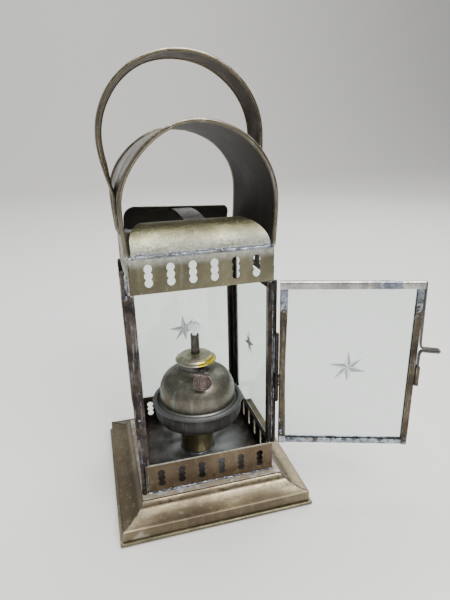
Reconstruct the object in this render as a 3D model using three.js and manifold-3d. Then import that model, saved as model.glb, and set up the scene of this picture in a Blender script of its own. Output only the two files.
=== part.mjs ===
// Small brass hand lantern with an oil burner: a square moulded base, two pierced bands, four glazed
// sides, an arched canopy with a strap handle over it, and a front door on a pin hinge, here wide open.
// Units are millimetres. +Z is up, the origin is the centre of the base's underside, the doorway
// faces -Y and the hinge is at +X.

import * as THREE from "three";
import { mergeVertices } from "three/addons/utils/BufferGeometryUtils.js";
import Module from "manifold-3d";

const wasm = await Module();
wasm.setup();

// ---------------------------------------------------------------- driving dimensions

const GAP = 0.3;                 // left between soldered neighbours
const SHEET = 0.8;               // brass sheet
const BODY_HALF = 50;            // half the width of the square body

const BASE_HALF = 75.2;          // hemmed bottom plate
const HEM_HEIGHT = 2.6;
const RIM_HALF = 73.1;           // upright rim of the moulding
const RIM_TOP = 11.2;
const SHOULDER_HALF = 56.2;      // flat top of the moulding
const SHOULDER_TOP = 20;
const FLOOR_HALF = 55.2;
const FLOOR_BOTTOM = SHOULDER_TOP + GAP;
const FLOOR_TOP = FLOOR_BOTTOM + SHEET;

const LOWER_BAND = {
  bottom: 21.4, top: 46.6, slotPitch: 15.8, backPitch: 14.2, slotHeight: 14.6, lobe: 2.7, squeeze: 1, slotZ: 33.6,
};
const UPPER_BAND = {
  bottom: 182, top: 206.4, slotPitch: 14.9, backPitch: 14.9, slotHeight: 15.8, lobe: 3.05, squeeze: 0.9, slotZ: 194.2,
};
const SLOTS_PER_BAND = 6;

const POST_BOTTOM = LOWER_BAND.top + GAP;
const POST_TOP = UPPER_BAND.bottom - GAP;
const FRONT_LEFT_SHIFT = -2;     // the left posts stand a little further out than the right ones
const BACK_LEFT_SHIFT = -1.4;
const EDGE_ROD = { radius: 1.9, y: -48.6, rightX: 51, leftX: -53.2, leftBottom: 21.5, leftTop: 198.5, lean: 1.1 };

const GLASS = 1.4;
const RIGHT_GLASS_X = 47.5;
const LEFT_GLASS_X = -49.12;
const BACK_GLASS_Y = 47.5;

const CANOPY = {
  foot: 206.8, footX: 49.6, springZ: 237.6, radius: 51.1, sheet: 0.9, bead: 1.5, beadOut: 0.4,
  backDrop: 4.5, leftDent: 1.8,
};
const HOOD = {
  radius: 18.8, axisY: 30.8, foot: UPPER_BAND.top + GAP,
  frontHalf: 47.5, frontCorners: [9, 18], backHalf: 44.2, backCorners: [5, 11], backTilt: 0.045,
};
const BRIDGE = { halfWidth: 7.5, reach: 36, crown: 226.4, arcRadius: 237 };

const HANDLE = {
  width: 30, sheet: 1, bead: 1.3, endZ: 215, leaveZ: 242,
  centreX: -3, centreZ: 278.7, halfWidth: 56.6, rise: 53.6, leanDegrees: 2.7, leanZ: 240,
  leftTwist: 3,
};

const HINGE = { x: 51.9, y: -52.3, outer: 1.6, bore: 0.95, pin: 0.85, sides: 16 };
const KNUCKLE_ENDS = [86.3, 97.7, 98.1, 108.6, 109, 142];
const DOOR_OPEN_DEGREES = 161.1;  // swing from shut to where it stands
const DOOR = {
  near: 1.95, far: 101.7, bottom: 48.4, top: 181.9, midY: 1, depth: 4.5,
  stile: 4.6, hingeStile: 5.55, topRail: 5.6, bottomRail: 4.2, slot: 2.1, slotDepth: 3.3, round: 1.4, bow: 1,
};
const LATCH = { strip: 1.1, width: 3, tabOut: 117.4, keeperBottom: 100.3, keeperTop: 115.8 };

const LAMP = { x: 1, y: -0.2, pedestalX: -1.8 };
const KNOB = { radius: 7.5, thickness: 3, teeth: 36, reach: 32.7, z: 100.8, offset: 5.5, turnDegrees: 13 };

const ROUND = 24;                // sides on turned parts

// ---------------------------------------------------------------- materials

function metal(colour, roughness) {
  return new THREE.MeshStandardMaterial({ color: colour, roughness, metalness: 1 });
}

const AGED_BRASS = metal(0x7d6f4c, 0.45);
const BROWN_BRASS = metal(0x6f5c45, 0.42);
const SOLDERED_BRASS = metal(0x6d6a66, 0.45);
const SOOTY_BRASS = metal(0x2b2624, 0.7);
const TARNISHED_BRASS = metal(0x4b473c, 0.35);
const PEWTER_GREY = metal(0x565350, 0.5);
const COPPERY_BRASS = metal(0x6b5047, 0.5);
const STEEL = metal(0x6a6865, 0.4);
const CLEAR_GLASS = new THREE.MeshStandardMaterial({
  color: 0xe8f0ee, roughness: 0.05, metalness: 0, transparent: true, opacity: 0.2,
});
const COTTON = new THREE.MeshStandardMaterial({ color: 0xf2f0ec, roughness: 0.95, metalness: 0 });

// ---------------------------------------------------------------- solids

function toSolid(geometry) {
  const bare = geometry.clone();
  bare.deleteAttribute("normal");
  bare.deleteAttribute("uv");
  const merged = mergeVertices(bare, 1e-4);
  const vertProperties = new Float32Array(merged.attributes.position.array);
  const triVerts = new Uint32Array(merged.index.array);
  return new wasm.Manifold(new wasm.Mesh({ numProp: 3, vertProperties, triVerts }));
}

function toGeometry(solid) {
  const mesh = solid.getMesh();
  const geometry = new THREE.BufferGeometry();
  geometry.setAttribute("position", new THREE.BufferAttribute(new Float32Array(mesh.vertProperties), 3));
  geometry.setIndex(new THREE.BufferAttribute(new Uint32Array(mesh.triVerts), 1));
  return geometry;
}

function join(first, ...others) {
  let solid = toSolid(first);
  for (const other of others) {
    solid = solid.add(toSolid(other));
  }
  return toGeometry(solid);
}

function cut(first, ...tools) {
  let solid = toSolid(first);
  for (const tool of tools) {
    solid = solid.subtract(toSolid(tool));
  }
  return toGeometry(solid);
}

// A shape drawn in X and Z, extruded along Y and centred on y = 0.
function slabAlongY(shape, width, curveSegments = 8) {
  const geometry = new THREE.ExtrudeGeometry(shape, { depth: width, bevelEnabled: false, curveSegments });
  geometry.rotateX(Math.PI / 2);
  geometry.translate(0, width / 2, 0);
  return geometry;
}

// A shape drawn in Y and Z, extruded along X and centred on x = 0.
function slabAlongX(shape, width) {
  const geometry = new THREE.ExtrudeGeometry(shape, { depth: width, bevelEnabled: false });
  const turn = new THREE.Matrix4().makeBasis(
    new THREE.Vector3(0, 1, 0),
    new THREE.Vector3(0, 0, 1),
    new THREE.Vector3(1, 0, 0),
  );
  geometry.applyMatrix4(turn);
  geometry.translate(-width / 2, 0, 0);
  return geometry;
}

// A shape drawn in X and Y, standing from bottom to top.
function column(shape, bottom, top, steps = 1) {
  const geometry = new THREE.ExtrudeGeometry(shape, { depth: top - bottom, bevelEnabled: false, steps });
  geometry.translate(0, 0, bottom);
  return geometry;
}

function block(low, high) {
  const geometry = new THREE.BoxGeometry(high[0] - low[0], high[1] - low[1], high[2] - low[2]);
  geometry.translate((low[0] + high[0]) / 2, (low[1] + high[1]) / 2, (low[2] + high[2]) / 2);
  return geometry;
}

function turned(profile, sides = ROUND) {
  const points = profile.map(([radius, z]) => new THREE.Vector2(radius, z));
  points.push(points[0].clone());
  const geometry = new THREE.LatheGeometry(points, sides);
  geometry.rotateX(Math.PI / 2);
  return geometry;
}

function tube(outer, inner, bottom, top, sides = ROUND) {
  return turned([[inner, bottom], [outer, bottom], [outer, top], [inner, top]], sides);
}

function rod(radius, bottom, top, sides) {
  const geometry = new THREE.CylinderGeometry(radius, radius, top - bottom, sides);
  geometry.rotateX(Math.PI / 2);
  geometry.translate(0, 0, (bottom + top) / 2);
  return geometry;
}

function polygon(points) {
  return new THREE.Shape(points.map(([x, y]) => new THREE.Vector2(x, y)));
}

// The outline of a strip of sheet bent along a centreline, with mitred bends.
function bentStrip(centreline, thickness) {
  const count = centreline.length;
  const left = [];
  const right = [];
  for (let i = 0; i < count; i += 1) {
    const before = centreline[Math.max(i - 1, 0)];
    const here = centreline[i];
    const after = centreline[Math.min(i + 1, count - 1)];
    const into = i > 0 ? here.clone().sub(before).normalize() : after.clone().sub(here).normalize();
    const out = i < count - 1 ? after.clone().sub(here).normalize() : into.clone();
    const along = into.clone().add(out).normalize();
    const reach = thickness / 2 / Math.max(along.dot(into), 0.5);
    const offset = new THREE.Vector2(-along.y, along.x).multiplyScalar(reach);
    left.push(here.clone().add(offset));
    right.push(here.clone().sub(offset));
  }
  return new THREE.Shape(left.concat(right.reverse()));
}

// A round bead along a curve that starts and ends flat.
function beadAlong(curve, radius, steps, sides = 8) {
  const circle = new THREE.Shape();
  circle.absarc(0, 0, radius, 0, Math.PI * 2, false);
  return new THREE.ExtrudeGeometry(circle, {
    steps, bevelEnabled: false, extrudePath: curve, curveSegments: sides / 2,
  });
}

// ---------------------------------------------------------------- scene

const lantern = new THREE.Group();

function place(name, geometry, material, parent = lantern) {
  const mesh = new THREE.Mesh(geometry, material);
  mesh.name = name;
  parent.add(mesh);
  return mesh;
}

const SIDES = ["front", "right", "back", "left"];

// ---------------------------------------------------------------- base

// Flat plate whose edge is folded into a thick round hem.
function baseBottom() {
  const edge = 1;
  const outline = polygon([
    [-BASE_HALF, -BASE_HALF], [BASE_HALF, -BASE_HALF], [BASE_HALF, BASE_HALF], [-BASE_HALF, BASE_HALF],
  ]);
  const slab = new THREE.ExtrudeGeometry(outline, {
    depth: HEM_HEIGHT - 2 * edge, bevelThickness: edge, bevelSize: edge, bevelOffset: -edge, bevelSegments: 3,
  });
  slab.translate(0, 0, edge);
  const inner = BASE_HALF - 3.6;
  const pocket = block([-inner, -inner, SHEET], [inner, inner, HEM_HEIGHT + 1]);
  return cut(slab, pocket);
}

// One mitred side of the moulding: upright rim, hollow cove, small step, flat shoulder.
function baseSide() {
  const half = SHEET / 2;
  const rim = RIM_HALF - half;
  const line = [new THREE.Vector2(rim, HEM_HEIGHT + GAP), new THREE.Vector2(rim, RIM_TOP - half)];
  const cove = new THREE.QuadraticBezierCurve(
    new THREE.Vector2(rim - 0.6, RIM_TOP - half + 0.1),
    new THREE.Vector2(59.6, 12.3),
    new THREE.Vector2(57.4, 17.2),
  );
  line.push(...cove.getPoints(8));
  line.push(new THREE.Vector2(SHOULDER_HALF - half, SHOULDER_TOP - half));
  line.push(new THREE.Vector2(BODY_HALF - 4, SHOULDER_TOP - half));
  const section = bentStrip(line, SHEET);
  const geometry = new THREE.ExtrudeGeometry(section, { depth: 1, bevelEnabled: false });
  const position = geometry.attributes.position;
  for (let i = 0; i < position.count; i += 1) {
    const out = position.getX(i);
    const end = 1 - 2 * position.getZ(i);
    position.setXYZ(i, end * (out - GAP / 2), -out, position.getY(i));
  }
  return geometry;
}

function addBase() {
  place("base_bottom_plate", baseBottom(), BROWN_BRASS);
  SIDES.forEach((side, i) => {
    const mesh = place(`base_moulding_${side}`, baseSide(), BROWN_BRASS);
    mesh.rotation.z = i * Math.PI / 2;
  });
  const floor = block([-FLOOR_HALF, -FLOOR_HALF, FLOOR_BOTTOM], [FLOOR_HALF, FLOOR_HALF, FLOOR_TOP]);
  place("floor_plate", floor, SOOTY_BRASS);
}

// ---------------------------------------------------------------- pierced bands

// A slot of three overlapping round lobes, one above another.
function lobedSlot(x, z, height, lobe, squeeze) {
  const step = height / 2 - lobe;
  const waist = Math.acos(step / 2 / lobe);
  const path = new THREE.Path();
  const wide = lobe * squeeze;
  path.absellipse(x, z + step, wide, lobe, waist - Math.PI / 2, Math.PI * 1.5 - waist, false);
  path.absellipse(x, z, wide, lobe, Math.PI / 2 + waist, Math.PI * 1.5 - waist, false);
  path.absellipse(x, z - step, wide, lobe, Math.PI / 2 + waist, Math.PI * 2.5 - waist, false);
  path.absellipse(x, z, wide, lobe, waist - Math.PI / 2, Math.PI / 2 - waist, false);
  return path;
}

function bandPanel(band, side, halfWidth) {
  const pitch = side === "back" ? band.backPitch : band.slotPitch;
  const panel = polygon([
    [-halfWidth, band.bottom], [halfWidth, band.bottom], [halfWidth, band.top], [-halfWidth, band.top],
  ]);
  for (let i = 0; i < SLOTS_PER_BAND; i += 1) {
    const x = (i - (SLOTS_PER_BAND - 1) / 2) * pitch;
    panel.holes.push(lobedSlot(x, band.slotZ, band.slotHeight, band.lobe, band.squeeze));
  }
  const geometry = slabAlongY(panel, SHEET, 2);
  geometry.translate(0, -BODY_HALF + SHEET / 2, 0);
  return geometry;
}

function addBand(name, band) {
  SIDES.forEach((side, i) => {
    const tucked = i % 2 === 1;
    const halfWidth = tucked ? BODY_HALF - SHEET - GAP : BODY_HALF;
    const mesh = place(`${name}_${side}`, bandPanel(band, side, halfWidth), AGED_BRASS);
    mesh.rotation.z = i * Math.PI / 2;
  });
}

// ---------------------------------------------------------------- corner posts

// Shallow folded channel at the front, with a groove open to the back for the side glass.
const FRONT_POST = [
  [45.8, -50.5], [48.9, -50.5], [48.9, -45.5], [48.35, -45.5], [48.35, -49.6], [46.35, -49.6],
  [46.35, -45.5], [45.8, -45.5],
];

// Folded channel at the back corner, with a groove for the side glass and one for the back glass.
const BACK_POST = [
  [43, 50.9], [43, 48.5], [46.2, 48.5], [46.2, 46.5], [43, 46.5], [43, 45.7], [45.7, 45.7],
  [45.7, 43], [46.5, 43], [46.5, 46.2], [48.5, 46.2], [48.5, 43], [50.9, 43], [50.9, 50.9],
];

function mirrored(section, shift) {
  return section.map(([x, y]) => [shift - x, y]).reverse();
}

function addPosts() {
  const posts = {
    post_front_right: FRONT_POST,
    post_front_left: mirrored(FRONT_POST, FRONT_LEFT_SHIFT),
    post_back_right: BACK_POST,
    post_back_left: mirrored(BACK_POST, BACK_LEFT_SHIFT),
  };
  for (const [name, section] of Object.entries(posts)) {
    place(name, column(polygon(section), POST_BOTTOM, POST_TOP), SOLDERED_BRASS);
  }

  const rightRod = rod(EDGE_ROD.radius, POST_BOTTOM, POST_TOP, 12);
  rightRod.translate(EDGE_ROD.rightX, EDGE_ROD.y, 0);
  place("edge_rod_front_right", rightRod, BROWN_BRASS);

  const leftX = EDGE_ROD.leftX;
  const leftPath = new THREE.CatmullRomCurve3([
    new THREE.Vector3(leftX, EDGE_ROD.y, EDGE_ROD.leftBottom),
    new THREE.Vector3(leftX, EDGE_ROD.y, 90),
    new THREE.Vector3(leftX, EDGE_ROD.y, POST_TOP - 6),
    new THREE.Vector3(leftX - EDGE_ROD.lean, EDGE_ROD.y, EDGE_ROD.leftTop),
  ]);
  place("edge_rod_front_left", beadAlong(leftPath, EDGE_ROD.radius, 10, 12), BROWN_BRASS);

  const gusset = slabAlongY(polygon([[45.4, POST_TOP], [39.6, POST_TOP], [45.4, POST_TOP - 4.6]]), SHEET);
  gusset.translate(0, -BODY_HALF + SHEET, 0);
  place("post_gusset", gusset, SOOTY_BRASS);
}

// ---------------------------------------------------------------- glass

function addGlass() {
  const z0 = POST_BOTTOM + 0.1;
  const z1 = POST_TOP - 0.1;
  const half = GLASS / 2;
  const front = -49.3;
  const back = 45.9;
  place("glass_right", block([RIGHT_GLASS_X - half, front, z0], [RIGHT_GLASS_X + half, back, z1]), CLEAR_GLASS);
  place("glass_left", block([LEFT_GLASS_X - half, front, z0], [LEFT_GLASS_X + half, back, z1]), CLEAR_GLASS);
  const low = [BACK_LEFT_SHIFT - back, BACK_GLASS_Y - half, z0];
  place("glass_back", block(low, [back, BACK_GLASS_Y + half, z1]), CLEAR_GLASS);
}

// ---------------------------------------------------------------- canopy, hoods, bridge

// Half-width of the canopy's centreline below the springing of its arch.
function canopyX(z) {
  const share = (z - CANOPY.foot) / (CANOPY.springZ - CANOPY.foot);
  return CANOPY.footX + (CANOPY.radius - CANOPY.footX) * Math.sin(share * Math.PI / 2);
}

function canopyLine(outward) {
  const line = [];
  const flankSteps = 5;
  for (let i = 0; i < flankSteps; i += 1) {
    const z = CANOPY.foot + (CANOPY.springZ - CANOPY.foot) * i / flankSteps;
    line.push(new THREE.Vector2(canopyX(z) + outward, z));
  }
  const arch = new THREE.EllipseCurve(
    0, CANOPY.springZ, CANOPY.radius + outward, CANOPY.radius + outward, 0, Math.PI / 2, false,
  );
  line.push(...arch.getPoints(11));
  const otherHalf = line.slice(0, -1).reverse().map((point) => new THREE.Vector2(-point.x, point.y));
  return line.concat(otherHalf);
}

function canopy() {
  const depth = 2 * BODY_HALF;
  const sheet = slabAlongY(bentStrip(canopyLine(0), CANOPY.sheet), depth - 2 * CANOPY.bead);
  const beads = [-1, 1].map((end) => {
    const y = end * (BODY_HALF - CANOPY.bead);
    const points = canopyLine(CANOPY.beadOut).map((point) => new THREE.Vector3(point.x, y, point.y));
    return beadAlong(new THREE.CatmullRomCurve3(points), CANOPY.bead, 32);
  });
  const whole = join(sheet, ...beads);
  settle(whole.attributes.position);
  return whole;
}

// The arch has sunk a little towards the back, and its left shoulder is slightly flattened.
function settle(position) {
  const rise = CANOPY.springZ + CANOPY.radius - CANOPY.foot;
  for (let i = 0; i < position.count; i += 1) {
    const x = position.getX(i);
    const z = position.getZ(i);
    const up = z - CANOPY.springZ;
    const angle = Math.atan2(up, -x);
    const dent = x < 0 && up > 0 ? CANOPY.leftDent * Math.sin(2 * angle) ** 2 : 0;
    const backShare = (position.getY(i) + BODY_HALF) / (2 * BODY_HALF);
    const sink = CANOPY.backDrop * backShare * ((z - CANOPY.foot) / rise) ** 2;
    position.setX(i, x + dent * Math.cos(angle));
    position.setZ(i, z - dent * Math.sin(angle) - Math.max(sink, 0));
  }
}

// Quarter-round sheet that rises from the band and turns in over the lamp. Its two crest corners are
// rounded as seen from the front, the one at -X first.
function hood(halfWidth, [left, right]) {
  const arc = new THREE.EllipseCurve(-HOOD.axisY, HOOD.foot, HOOD.radius, HOOD.radius, Math.PI, Math.PI / 2, true);
  const sheet = slabAlongX(bentStrip(arc.getPoints(16), SHEET), 2 * halfWidth);
  const position = sheet.attributes.position;
  for (let i = 0; i < position.count; i += 1) {
    const x = position.getX(i);
    const corner = x > 0 ? right : left;
    const belowCrest = HOOD.foot + HOOD.radius - position.getZ(i);
    const over = THREE.MathUtils.clamp(corner - belowCrest, 0, corner);
    const trim = corner - Math.sqrt(corner ** 2 - over ** 2);
    position.setX(i, x - Math.sign(x) * trim);
  }
  return sheet;
}

// The crest of the hood falls a little from one end to the other; its foot stays level.
function tiltCrest(position) {
  for (let i = 0; i < position.count; i += 1) {
    const share = Math.max(0, (position.getZ(i) - HOOD.foot) / HOOD.radius);
    position.setZ(i, position.getZ(i) + share * HOOD.backTilt * position.getX(i));
  }
}

// Shallow arch of strip that ties the two hoods together from below.
function bridge() {
  const half = Math.asin(BRIDGE.reach / BRIDGE.arcRadius);
  const centre = BRIDGE.crown - SHEET / 2 - BRIDGE.arcRadius;
  const arc = new THREE.EllipseCurve(
    0, centre, BRIDGE.arcRadius, BRIDGE.arcRadius, Math.PI / 2 + half, Math.PI / 2 - half, true,
  );
  return slabAlongX(bentStrip(arc.getPoints(8), SHEET), 2 * BRIDGE.halfWidth);
}

function addTop() {
  place("canopy", canopy(), SOOTY_BRASS);
  place("hood_front", hood(HOOD.frontHalf, HOOD.frontCorners), AGED_BRASS);
  const backHood = hood(HOOD.backHalf, HOOD.backCorners);
  tiltCrest(backHood.attributes.position);
  const back = place("hood_back", backHood, SOOTY_BRASS);
  back.rotation.z = Math.PI;
  place("hood_bridge", bridge(), SOLDERED_BRASS);
}

// ---------------------------------------------------------------- handle

// Half of the handle's centreline: up the canopy's flank, out to the widest point, over the top.
function handleSide(side) {
  const standOff = CANOPY.sheet / 2 + GAP + HANDLE.sheet / 2;
  const line = [];
  const flankSteps = 4;
  for (let i = 0; i <= flankSteps; i += 1) {
    const z = HANDLE.endZ + (CANOPY.springZ - HANDLE.endZ) * i / flankSteps;
    line.push(new THREE.Vector2(side * (canopyX(z) + standOff), z));
  }
  const widest = HANDLE.centreX + side * HANDLE.halfWidth;
  const leave = side * (CANOPY.radius + standOff);
  const flare = new THREE.CubicBezierCurve(
    new THREE.Vector2(leave, HANDLE.leaveZ),
    new THREE.Vector2(leave + (widest - leave) * 0.35, HANDLE.leaveZ + 9),
    new THREE.Vector2(widest, HANDLE.centreZ - 14),
    new THREE.Vector2(widest, HANDLE.centreZ),
  );
  line.push(...flare.getPoints(7));
  const start = side > 0 ? 0 : Math.PI;
  const over = new THREE.EllipseCurve(
    HANDLE.centreX, HANDLE.centreZ, HANDLE.halfWidth, HANDLE.rise, start, Math.PI / 2, side < 0,
  );
  line.push(...over.getPoints(12).slice(1));
  return line;
}

function handle() {
  const right = handleSide(1);
  const left = handleSide(-1).slice(0, -1).reverse();
  const line = right.concat(left);
  const strap = slabAlongY(bentStrip(line, HANDLE.sheet), HANDLE.width - 2 * HANDLE.bead);
  const beads = [-1, 1].map((end) => {
    const y = end * (HANDLE.width / 2 - HANDLE.bead);
    const free = line.filter((point) => point.y > HANDLE.leaveZ + 4);
    const points = free.map((point) => new THREE.Vector3(point.x, y, point.y));
    return beadAlong(new THREE.CatmullRomCurve3(points), HANDLE.bead, 32);
  });
  const whole = join(strap, ...beads);
  twistLeft(whole.attributes.position);
  whole.translate(0, 0, -HANDLE.leanZ);
  whole.rotateX(-THREE.MathUtils.degToRad(HANDLE.leanDegrees));
  whole.translate(0, 0, HANDLE.leanZ);
  return whole;
}

// The strap's left side is bent a little out of true: its back edge leans inwards.
function twistLeft(position) {
  for (let i = 0; i < position.count; i += 1) {
    const above = THREE.MathUtils.clamp((position.getZ(i) - HANDLE.leaveZ) / 20, 0, 1);
    const outwards = THREE.MathUtils.clamp((-position.getX(i) - 20) / 30, 0, 1);
    const backShare = position.getY(i) / HANDLE.width + 0.5;
    position.setX(i, position.getX(i) + HANDLE.leftTwist * above * outwards * backShare);
  }
}

// ---------------------------------------------------------------- hinge

function knuckle(bottom, top) {
  return tube(HINGE.outer, HINGE.bore, bottom, top, HINGE.sides);
}

function addHinge(door) {
  const [low0, low1, mid0, mid1, high0, high1] = KNUCKLE_ENDS;
  const pin = rod(HINGE.pin, low0 - 0.7, high1 + 0.7, HINGE.sides);
  const fixed = {
    hinge_knuckle_lower: [knuckle(low0, low1), SOLDERED_BRASS],
    hinge_knuckle_upper: [knuckle(high0, high1), SOLDERED_BRASS],
    hinge_pin: [pin, STEEL],
  };
  for (const [name, [geometry, material]] of Object.entries(fixed)) {
    const mesh = place(name, geometry, material);
    mesh.position.set(HINGE.x, HINGE.y, 0);
  }
  place("hinge_knuckle_door", knuckle(mid0, mid1), BROWN_BRASS, door);
}

// ---------------------------------------------------------------- door, drawn from the hinge axis along +X

// Section of a rolled channel: x from its round outer edge inwards, y across, a groove for the glass.
function channel(width) {
  const half = DOOR.depth / 2;
  const r = DOOR.round;
  const groove = DOOR.slot / 2;
  const section = new THREE.Shape();
  section.moveTo(width, half);
  section.lineTo(r, half);
  section.absarc(r, half - r, r, Math.PI / 2, Math.PI, false);
  section.absarc(r, r - half, r, Math.PI, Math.PI * 1.5, false);
  section.lineTo(width, -half);
  section.lineTo(width, -groove);
  section.lineTo(width - DOOR.slotDepth, -groove);
  section.lineTo(width - DOOR.slotDepth, groove);
  section.lineTo(width, groove);
  return section;
}

function extrudedChannel(width, length, steps) {
  return new THREE.ExtrudeGeometry(channel(width), {
    depth: length, bevelEnabled: false, curveSegments: 3, steps,
  });
}

// The hinge stile's inner edge has been pulled into a slight bow towards the hinge at mid-height.
function hingeStile() {
  const top = DOOR.top - DOOR.topRail - GAP;
  const geometry = extrudedChannel(DOOR.hingeStile, top - DOOR.bottom, 12);
  geometry.translate(DOOR.near, 0, DOOR.bottom);
  const position = geometry.attributes.position;
  for (let i = 0; i < position.count; i += 1) {
    const share = (position.getZ(i) - DOOR.bottom) / (top - DOOR.bottom);
    const inwards = (position.getX(i) - DOOR.near) / DOOR.hingeStile;
    position.setX(i, position.getX(i) - DOOR.bow * inwards * Math.sin(Math.PI * share) ** 2);
  }
  return geometry;
}

function latchStile() {
  const top = DOOR.top - DOOR.topRail - GAP;
  const geometry = extrudedChannel(DOOR.stile, top - DOOR.bottom, 1);
  geometry.rotateZ(Math.PI);
  geometry.translate(DOOR.far, 0, DOOR.bottom);
  return geometry;
}

function topRail() {
  const geometry = extrudedChannel(DOOR.topRail, DOOR.far - DOOR.near, 1);
  geometry.rotateY(Math.PI / 2);
  geometry.translate(DOOR.near, 0, DOOR.top);
  return geometry;
}

function bottomRail() {
  const left = DOOR.near + DOOR.hingeStile + GAP;
  const right = DOOR.far - DOOR.stile - GAP;
  const geometry = extrudedChannel(DOOR.bottomRail, right - left, 1);
  geometry.rotateY(-Math.PI / 2);
  geometry.translate(right, 0, DOOR.bottom);
  return geometry;
}

function doorGlass() {
  const half = GLASS / 2;
  const into = 2;
  const low = [DOOR.near + DOOR.hingeStile - into, -half, DOOR.bottom + DOOR.bottomRail - into];
  const high = [DOOR.far - DOOR.stile + into, half, DOOR.top - DOOR.topRail + into];
  return block(low, high);
}

// Leaf spring soldered at the top, folded out into a hairpin thumb tab, ending in the keeper.
function latchSpring() {
  const out = LATCH.tabOut;
  const tabTop = 130.4;
  const tabGap = 2.1;
  const tip = new THREE.EllipseCurve(out - 1, tabTop - 1.2 - tabGap / 2, 1.05, 1.05, Math.PI / 2, -Math.PI / 2, true);
  const line = [
    [102.55, DOOR.top - 0.8], [102.9, 160], [103.4, 134.5], [104, 131.4], [105.3, tabTop],
  ].map(([x, z]) => new THREE.Vector2(x, z));
  line.push(...tip.getPoints(5));
  line.push(...[[104.9, 128.2], [103.8, 127], [103.35, 125.2], [103.3, 102]].map(([x, z]) => new THREE.Vector2(x, z)));
  return slabAlongY(bentStrip(line, LATCH.strip), LATCH.width);
}

function latchKeeper() {
  const section = polygon([[102, -2.2], [104.7, -2.2], [104.7, 2.2], [102, 2.2]]);
  section.holes.push(polygon([[102.4, -1.8], [102.4, 1.8], [104.2, 1.8], [104.2, -1.8]]));
  return column(section, LATCH.keeperBottom, LATCH.keeperTop);
}

function addDoor() {
  const door = new THREE.Group();
  door.position.set(HINGE.x, HINGE.y, 0);
  door.rotation.z = THREE.MathUtils.degToRad(DOOR_OPEN_DEGREES - 180);
  lantern.add(door);
  addHinge(door);

  const leaf = new THREE.Group();
  leaf.position.y = DOOR.midY;
  door.add(leaf);
  place("door_stile_hinge", hingeStile(), BROWN_BRASS, leaf);
  place("door_stile_latch", latchStile(), BROWN_BRASS, leaf);
  place("door_rail_top", topRail(), SOLDERED_BRASS, leaf);
  place("door_rail_bottom", bottomRail(), BROWN_BRASS, leaf);
  place("door_glass", doorGlass(), CLEAR_GLASS, leaf);
  place("latch_spring", latchSpring(), SOLDERED_BRASS, leaf);
  place("latch_keeper", latchKeeper(), BROWN_BRASS, leaf);
}

// ---------------------------------------------------------------- lamp

// The oil bowl's outline from foot to shoulder: an upright wall that rounds over to a flat top.
function bowlOutline(radius, base, height, power, topRadius, steps) {
  const points = [];
  const last = Math.acos((topRadius / radius) ** (power / 2));
  for (let i = 0; i <= steps; i += 1) {
    const angle = last * i / steps;
    points.push([radius * Math.cos(angle) ** (2 / power), base + height * Math.sin(angle) ** (2 / power)]);
  }
  return points;
}

function cup() {
  const wall = 1.3;
  return turned([
    [0, 49.9], [22, 49.9], [28.5, 50.8], [33, 53], [35.9, 56.5], [36.6, 60], [36.6, 66.2],
    [37.2, 66.8], [37.8, 68.3], [37.6, 69.8], [36.4, 71], [34.9, 71], [33.6, 70], [33.4, 68],
    [33.4, 62], [36.6 - wall - 2, 58], [30.5, 54.6], [26, 52.6], [20, 51.3], [0, 51.3],
  ], ROUND + 2);
}

function font() {
  const outside = bowlOutline(31.7, 74, 24, 2.6, 16.5, 6);
  const inside = bowlOutline(30.7, 74, 23, 2.6, 15.5, 5).reverse();
  return turned([
    [0, 54], [24, 54], [29, 57], [31.4, 63], [31.6, 67.6], [33, 68.4], [33, 69.8], [31.7, 70.6], ...outside,
    [12.2, 96.2], [12.2, 95.2], ...inside, [30.4, 63.5], [28.2, 58], [23.5, 55], [0, 55],
  ], ROUND + 2);
}

function burnerBody() {
  const shell = turned([
    [12.8, 99.7], [14.2, 99.7], [14.2, 104.5], [12.8, 104.5],
  ]);
  const boss = rod(2.4, 12.4, 17.6, 12);
  boss.applyMatrix4(spindleFrame());
  const bore = rod(1.15, 0, 30, 12);
  bore.applyMatrix4(spindleFrame());
  const hollow = tube(12.8, 0, 98, 106);
  const underside = block([-20, -30, 95], [20, 0, 99.7]);
  return cut(join(shell, cut(boss, hollow, underside)), bore);
}

// Turns +Z into the winder spindle's direction, from the point beside the wick outwards.
function spindleFrame() {
  const turn = THREE.MathUtils.degToRad(KNOB.turnDegrees);
  const out = new THREE.Vector3(-Math.sin(turn), -Math.cos(turn), 0);
  const across = new THREE.Vector3(0, 0, 1).cross(out);
  const start = across.clone().multiplyScalar(KNOB.offset);
  start.z = KNOB.z;
  return new THREE.Matrix4()
    .makeBasis(across, new THREE.Vector3(0, 0, 1), out)
    .setPosition(start);
}

function burnerCap() {
  return turned([
    [3.9, 105], [15.2, 105], [16.4, 104.9], [16.9, 105.3], [16.7, 105.9], [14.2, 107.1], [13.6, 107.9],
    [12.9, 108.2], [12.2, 109], [8, 109.5], [5.2, 109.9], [3.9, 110],
  ]);
}

function wick() {
  const tuft = 5.6;
  const centre = 133;
  const points = [[0, 72], [2.2, 72], [2.2, 127.4]];
  for (let i = 1; i <= 9; i += 1) {
    const angle = -Math.PI / 2 + Math.PI * (i + 0.6) / 9.6;
    points.push([Math.max(tuft * Math.cos(angle), 0), centre + tuft * Math.sin(angle)]);
  }
  return turned(points, 20);
}

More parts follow.
